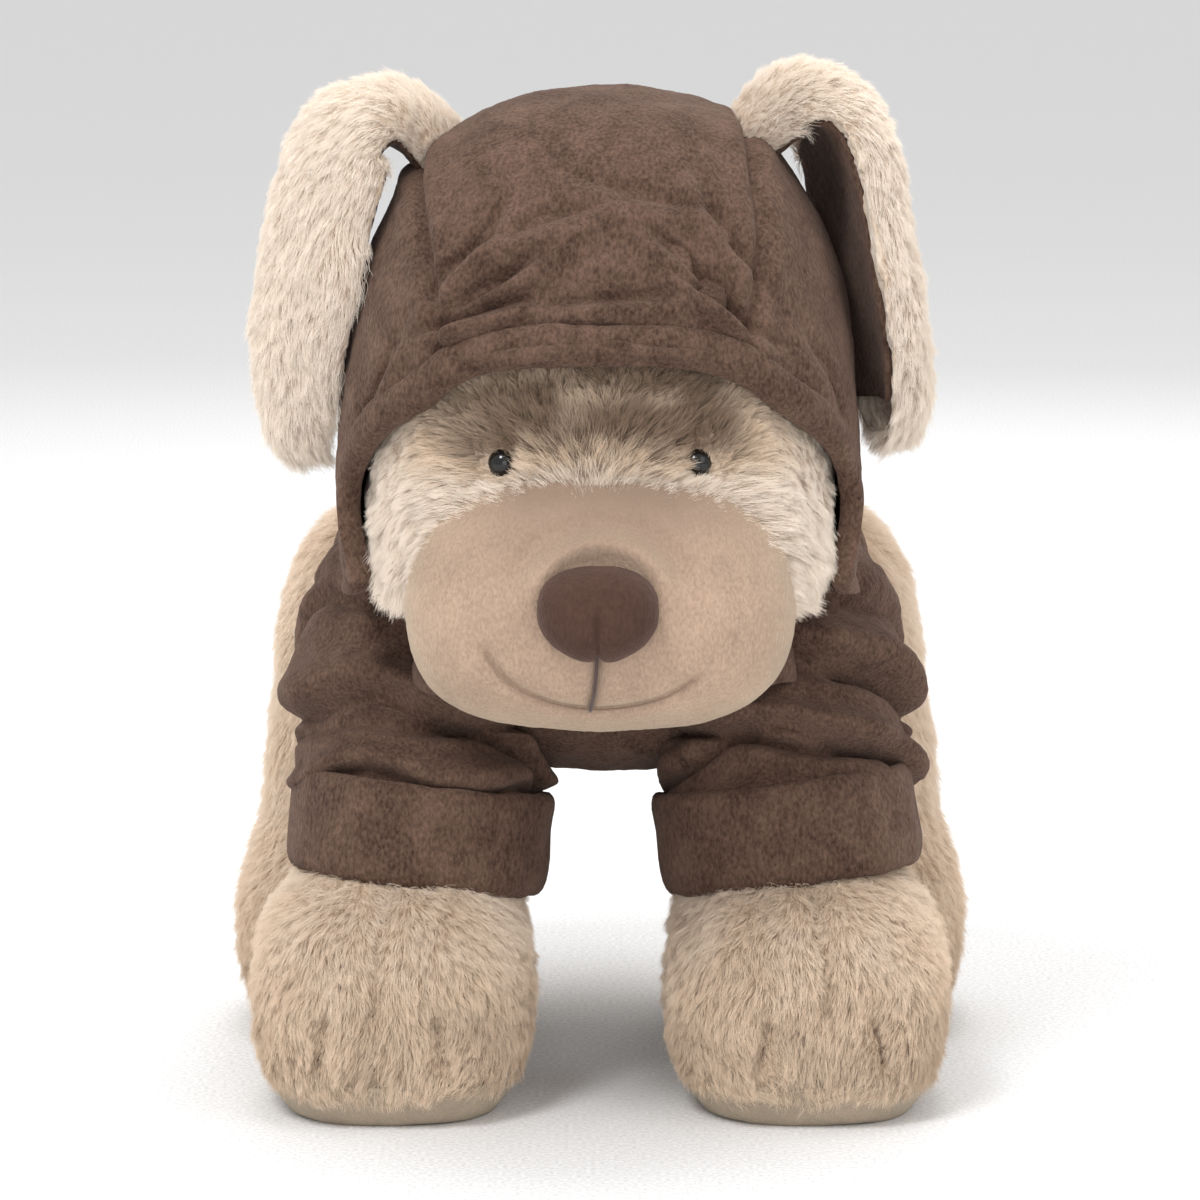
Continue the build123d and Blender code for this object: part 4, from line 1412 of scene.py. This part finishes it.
class DOG_OT_sleeves(Operator):
    """Sew the gathered sleeves and their turned-up cuffs"""

    bl_idname = "dog.sleeves"
    bl_label = "Sleeves"

    def execute(self, context):
        for side, sign in SIDES.items():
            self.sleeve(side, sign)
            self.cuff(side, sign)
        return {"FINISHED"}

    def sleeve(self, side, sign):
        stations = curve_through(SLEEVE_LINE, 150)
        middle = stations[:, :3] * np.array([sign, 1, 1])
        along = unit(np.gradient(middle, axis=0))
        count, cloth = 220, 2.2
        turn = full_turn(count)
        total = np.linalg.norm(np.diff(middle, axis=0), axis=1).sum()
        rings, inner = [], []
        for row, (centre, forward) in enumerate(zip(middle, along)):
            share = row / (len(middle) - 1)
            east = unit(np.cross([0.0, 1.0, 0.0], forward)) * -1
            front = np.cross(forward, east)
            wide, deep = stations[row, 3], stations[row, 4]
            extra = np.zeros(count)
            for place, tilt, tilt_turn, tall, width, strong in SLEEVE_FOLDS[side]:
                wave = 2.2 * np.sin(turn * 3 + place * 20) + 1.3 * np.sin(turn * 5 + place * 47)
                offset = (share - place) * total + tilt * np.cos(turn - math.radians(tilt_turn)) + wave
                mask = 0.45 + 0.55 * (0.5 + 0.5 * np.cos(turn - math.radians(strong)))
                ridge = 1.1 * bump(offset, width * 0.9) - 1.7 * bump(offset - 1.25 * width, width * 0.42)
                extra += mask * tall * ridge
            flare = (np.outer(np.sin(turn) * (wide + extra), east)
                     + np.outer(np.cos(turn) * (deep + extra), front))
            rings.append(centre + flare)
            inner.append(centre + flare * ((wide + extra - cloth) / (wide + extra))[:, None])
        rows = rings + inner[::-5]
        faces = band_faces(len(rows), count)
        sleeve = make_piece(f"sleeve_{side}_cloth", np.concatenate(rows), faces, None, material("velour"))
        seed = SLEEVE_SEED[side]

        def soft_dents(points, normals):
            height = 1.5 * cloudy(points, 22.0, seed) + 0.16 * cloudy(points, CLOTH_GRAIN, seed + 4)
            return np.where(np.arange(len(points)) >= len(rings) * count, -height, height)

        push(sleeve, soft_dents)
        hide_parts(f"sleeve_{side}")
        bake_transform(sleeve)

    def cuff(self, side, sign):
        x, y, z, lean, forward = CUFF[side]
        turn = full_turn(200)
        tip_forward = Matrix.Rotation(math.radians(-forward), 3, "X")
        spin = np.array(tip_forward @ Matrix.Rotation(math.radians(-lean * sign), 3, "Y"))
        loops = []
        for height, radius in CUFF_SECTION:
            level = np.full(len(turn), height)
            ring = np.stack([radius * 0.985 * np.sin(turn), -radius * np.cos(turn), level], axis=1)
            loops.append(ring @ spin.T + np.array([sign * x, y, z]))
        faces = band_faces(len(loops), len(turn))
        points, body = np.concatenate(loops), f"front_leg_{side}"
        cuff = make_piece(f"cuff_{side}", points, faces, body, material("velour"))
        rounded(cuff)
        seed = SLEEVE_SEED[side] + 20
        push(cuff, lambda points, normals: cloudy(points, 17.0, seed) + 0.5 * cloudy(points, 6.0, seed + 4))
        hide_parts(f"sleeve_cuff_{side}")


class DOG_OT_inside(Operator):
    """Give the filling and the blank label their finish"""

    bl_idname = "dog.inside"
    bl_label = "Filling and label"

    def execute(self, context):
        for name, finish in (("torso_stuffing", "filling"), ("care_label", "ribbon")):
            refinish(name, finish)
        return {"FINISHED"}


# ---------------------------------------------------------------- stage
FLOOR_HALF = 40.0  # metres
WORLD_LIGHT = 0.82
LIGHTS = (
    # name, place in metres, width in metres, watts
    ("key", (-0.8, -1.5, 2.1), 0.8, 31.0),
    ("fill", (1.5, -1.3, 1.3), 1.4, 6.0),
    ("low", (0.25, -1.9, 0.45), 1.1, 5.0),
    ("top", (0.1, 0.2, 2.3), 1.2, 16.0),
    ("back", (0.2, 1.8, 1.2), 1.4, 6.0),
)
LIT_POINT = (0, 0, 0.15)


class DOG_OT_stage(Operator):
    """Set the floor, the soft lights and the camera"""

    bl_idname = "dog.stage"
    bl_label = "Stage"

    def execute(self, context):
        self.floor()
        self.lights()
        self.camera()
        return {"FINISHED"}

    def floor(self):
        mesh = bpy.data.meshes.new("floor")
        corners = [(x * FLOOR_HALF, y * FLOOR_HALF, 0) for x, y in ((-1, -1), (1, -1), (1, 1), (-1, 1))]
        mesh.from_pydata(corners, [], [(0, 1, 2, 3)])
        floor = bpy.data.objects.new("floor", mesh)
        bpy.context.scene.collection.objects.link(floor)
        mesh.materials.append(plain_material("Floor", tuple(sizes("dog_colours").floor), 0.9))

    def lights(self):
        world = bpy.data.worlds.new("Studio")
        bpy.context.scene.world = world
        world.use_nodes = True
        background = world.node_tree.nodes["Background"]
        background.inputs["Color"].default_value = (1.0, 1.0, 1.0, 1.0)
        background.inputs["Strength"].default_value = WORLD_LIGHT
        bpy.context.scene.view_settings.view_transform = "Standard"
        for name, place, size, power in LIGHTS:
            light = bpy.data.lights.new(name, "AREA")
            light.shape, light.size, light.energy = "DISK", size, power
            lamp = bpy.data.objects.new(name, light)
            lamp.location = place
            aim = Vector(LIT_POINT) - lamp.location
            lamp.rotation_euler = aim.to_track_quat("-Z", "Y").to_euler()
            bpy.context.scene.collection.objects.link(lamp)

    def camera(self):
        stage = sizes("dog_stage")
        target = Vector((0, stage.target_y, stage.target_height))
        back = Vector((0, -math.cos(stage.elevation), math.sin(stage.elevation)))
        data = bpy.data.cameras.new("camera")
        data.lens, data.sensor_width = stage.lens, 36.0
        camera = bpy.data.objects.new("camera", data)
        camera.location = target + back * stage.distance
        camera.rotation_euler = (-back).to_track_quat("-Z", "Y").to_euler()
        bpy.context.scene.collection.objects.link(camera)
        bpy.context.scene.camera = camera


OPERATORS = (DOG_OT_stage, DOG_OT_head, DOG_OT_muzzle, DOG_OT_nose, DOG_OT_eyes, DOG_OT_hood, DOG_OT_ears,
             DOG_OT_torso, DOG_OT_hoodie, DOG_OT_tail, DOG_OT_legs, DOG_OT_sleeves, DOG_OT_inside)
SIZE_GROUPS = {"dog_head": DogHeadSizes, "dog_fur": DogFurSizes, "dog_colours": DogColours,
               "dog_stage": DogStageSizes}


class DOG_PT_pieces(Panel):
    """The dog's pieces, in the order in which they are sewn"""

    bl_idname = "DOG_PT_pieces"
    bl_label = "Plush Dog"
    bl_space_type = "VIEW_3D"
    bl_region_type = "UI"
    bl_category = "Plush Dog"

    def draw(self, context):
        for group, kind in SIZE_GROUPS.items():
            box = self.layout.box()
            for name in kind.__annotations__:
                box.prop(getattr(context.scene, group), name)
        for operator in OPERATORS:
            self.layout.operator(operator.bl_idname)


def register():
    for kind in (*SIZE_GROUPS.values(), *OPERATORS, DOG_PT_pieces):
        bpy.utils.register_class(kind)
    for group, kind in SIZE_GROUPS.items():
        setattr(bpy.types.Scene, group, PointerProperty(type=kind))


def unregister():
    for group in SIZE_GROUPS:
        delattr(bpy.types.Scene, group)
    for kind in (DOG_PT_pieces, *reversed(OPERATORS), *SIZE_GROUPS.values()):
        bpy.utils.unregister_class(kind)


def main():
    register()
    for operator in OPERATORS:
        group, name = operator.bl_idname.split(".")
        getattr(getattr(bpy.ops, group), name)()
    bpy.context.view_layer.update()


if __name__ == "__main__":
    main()
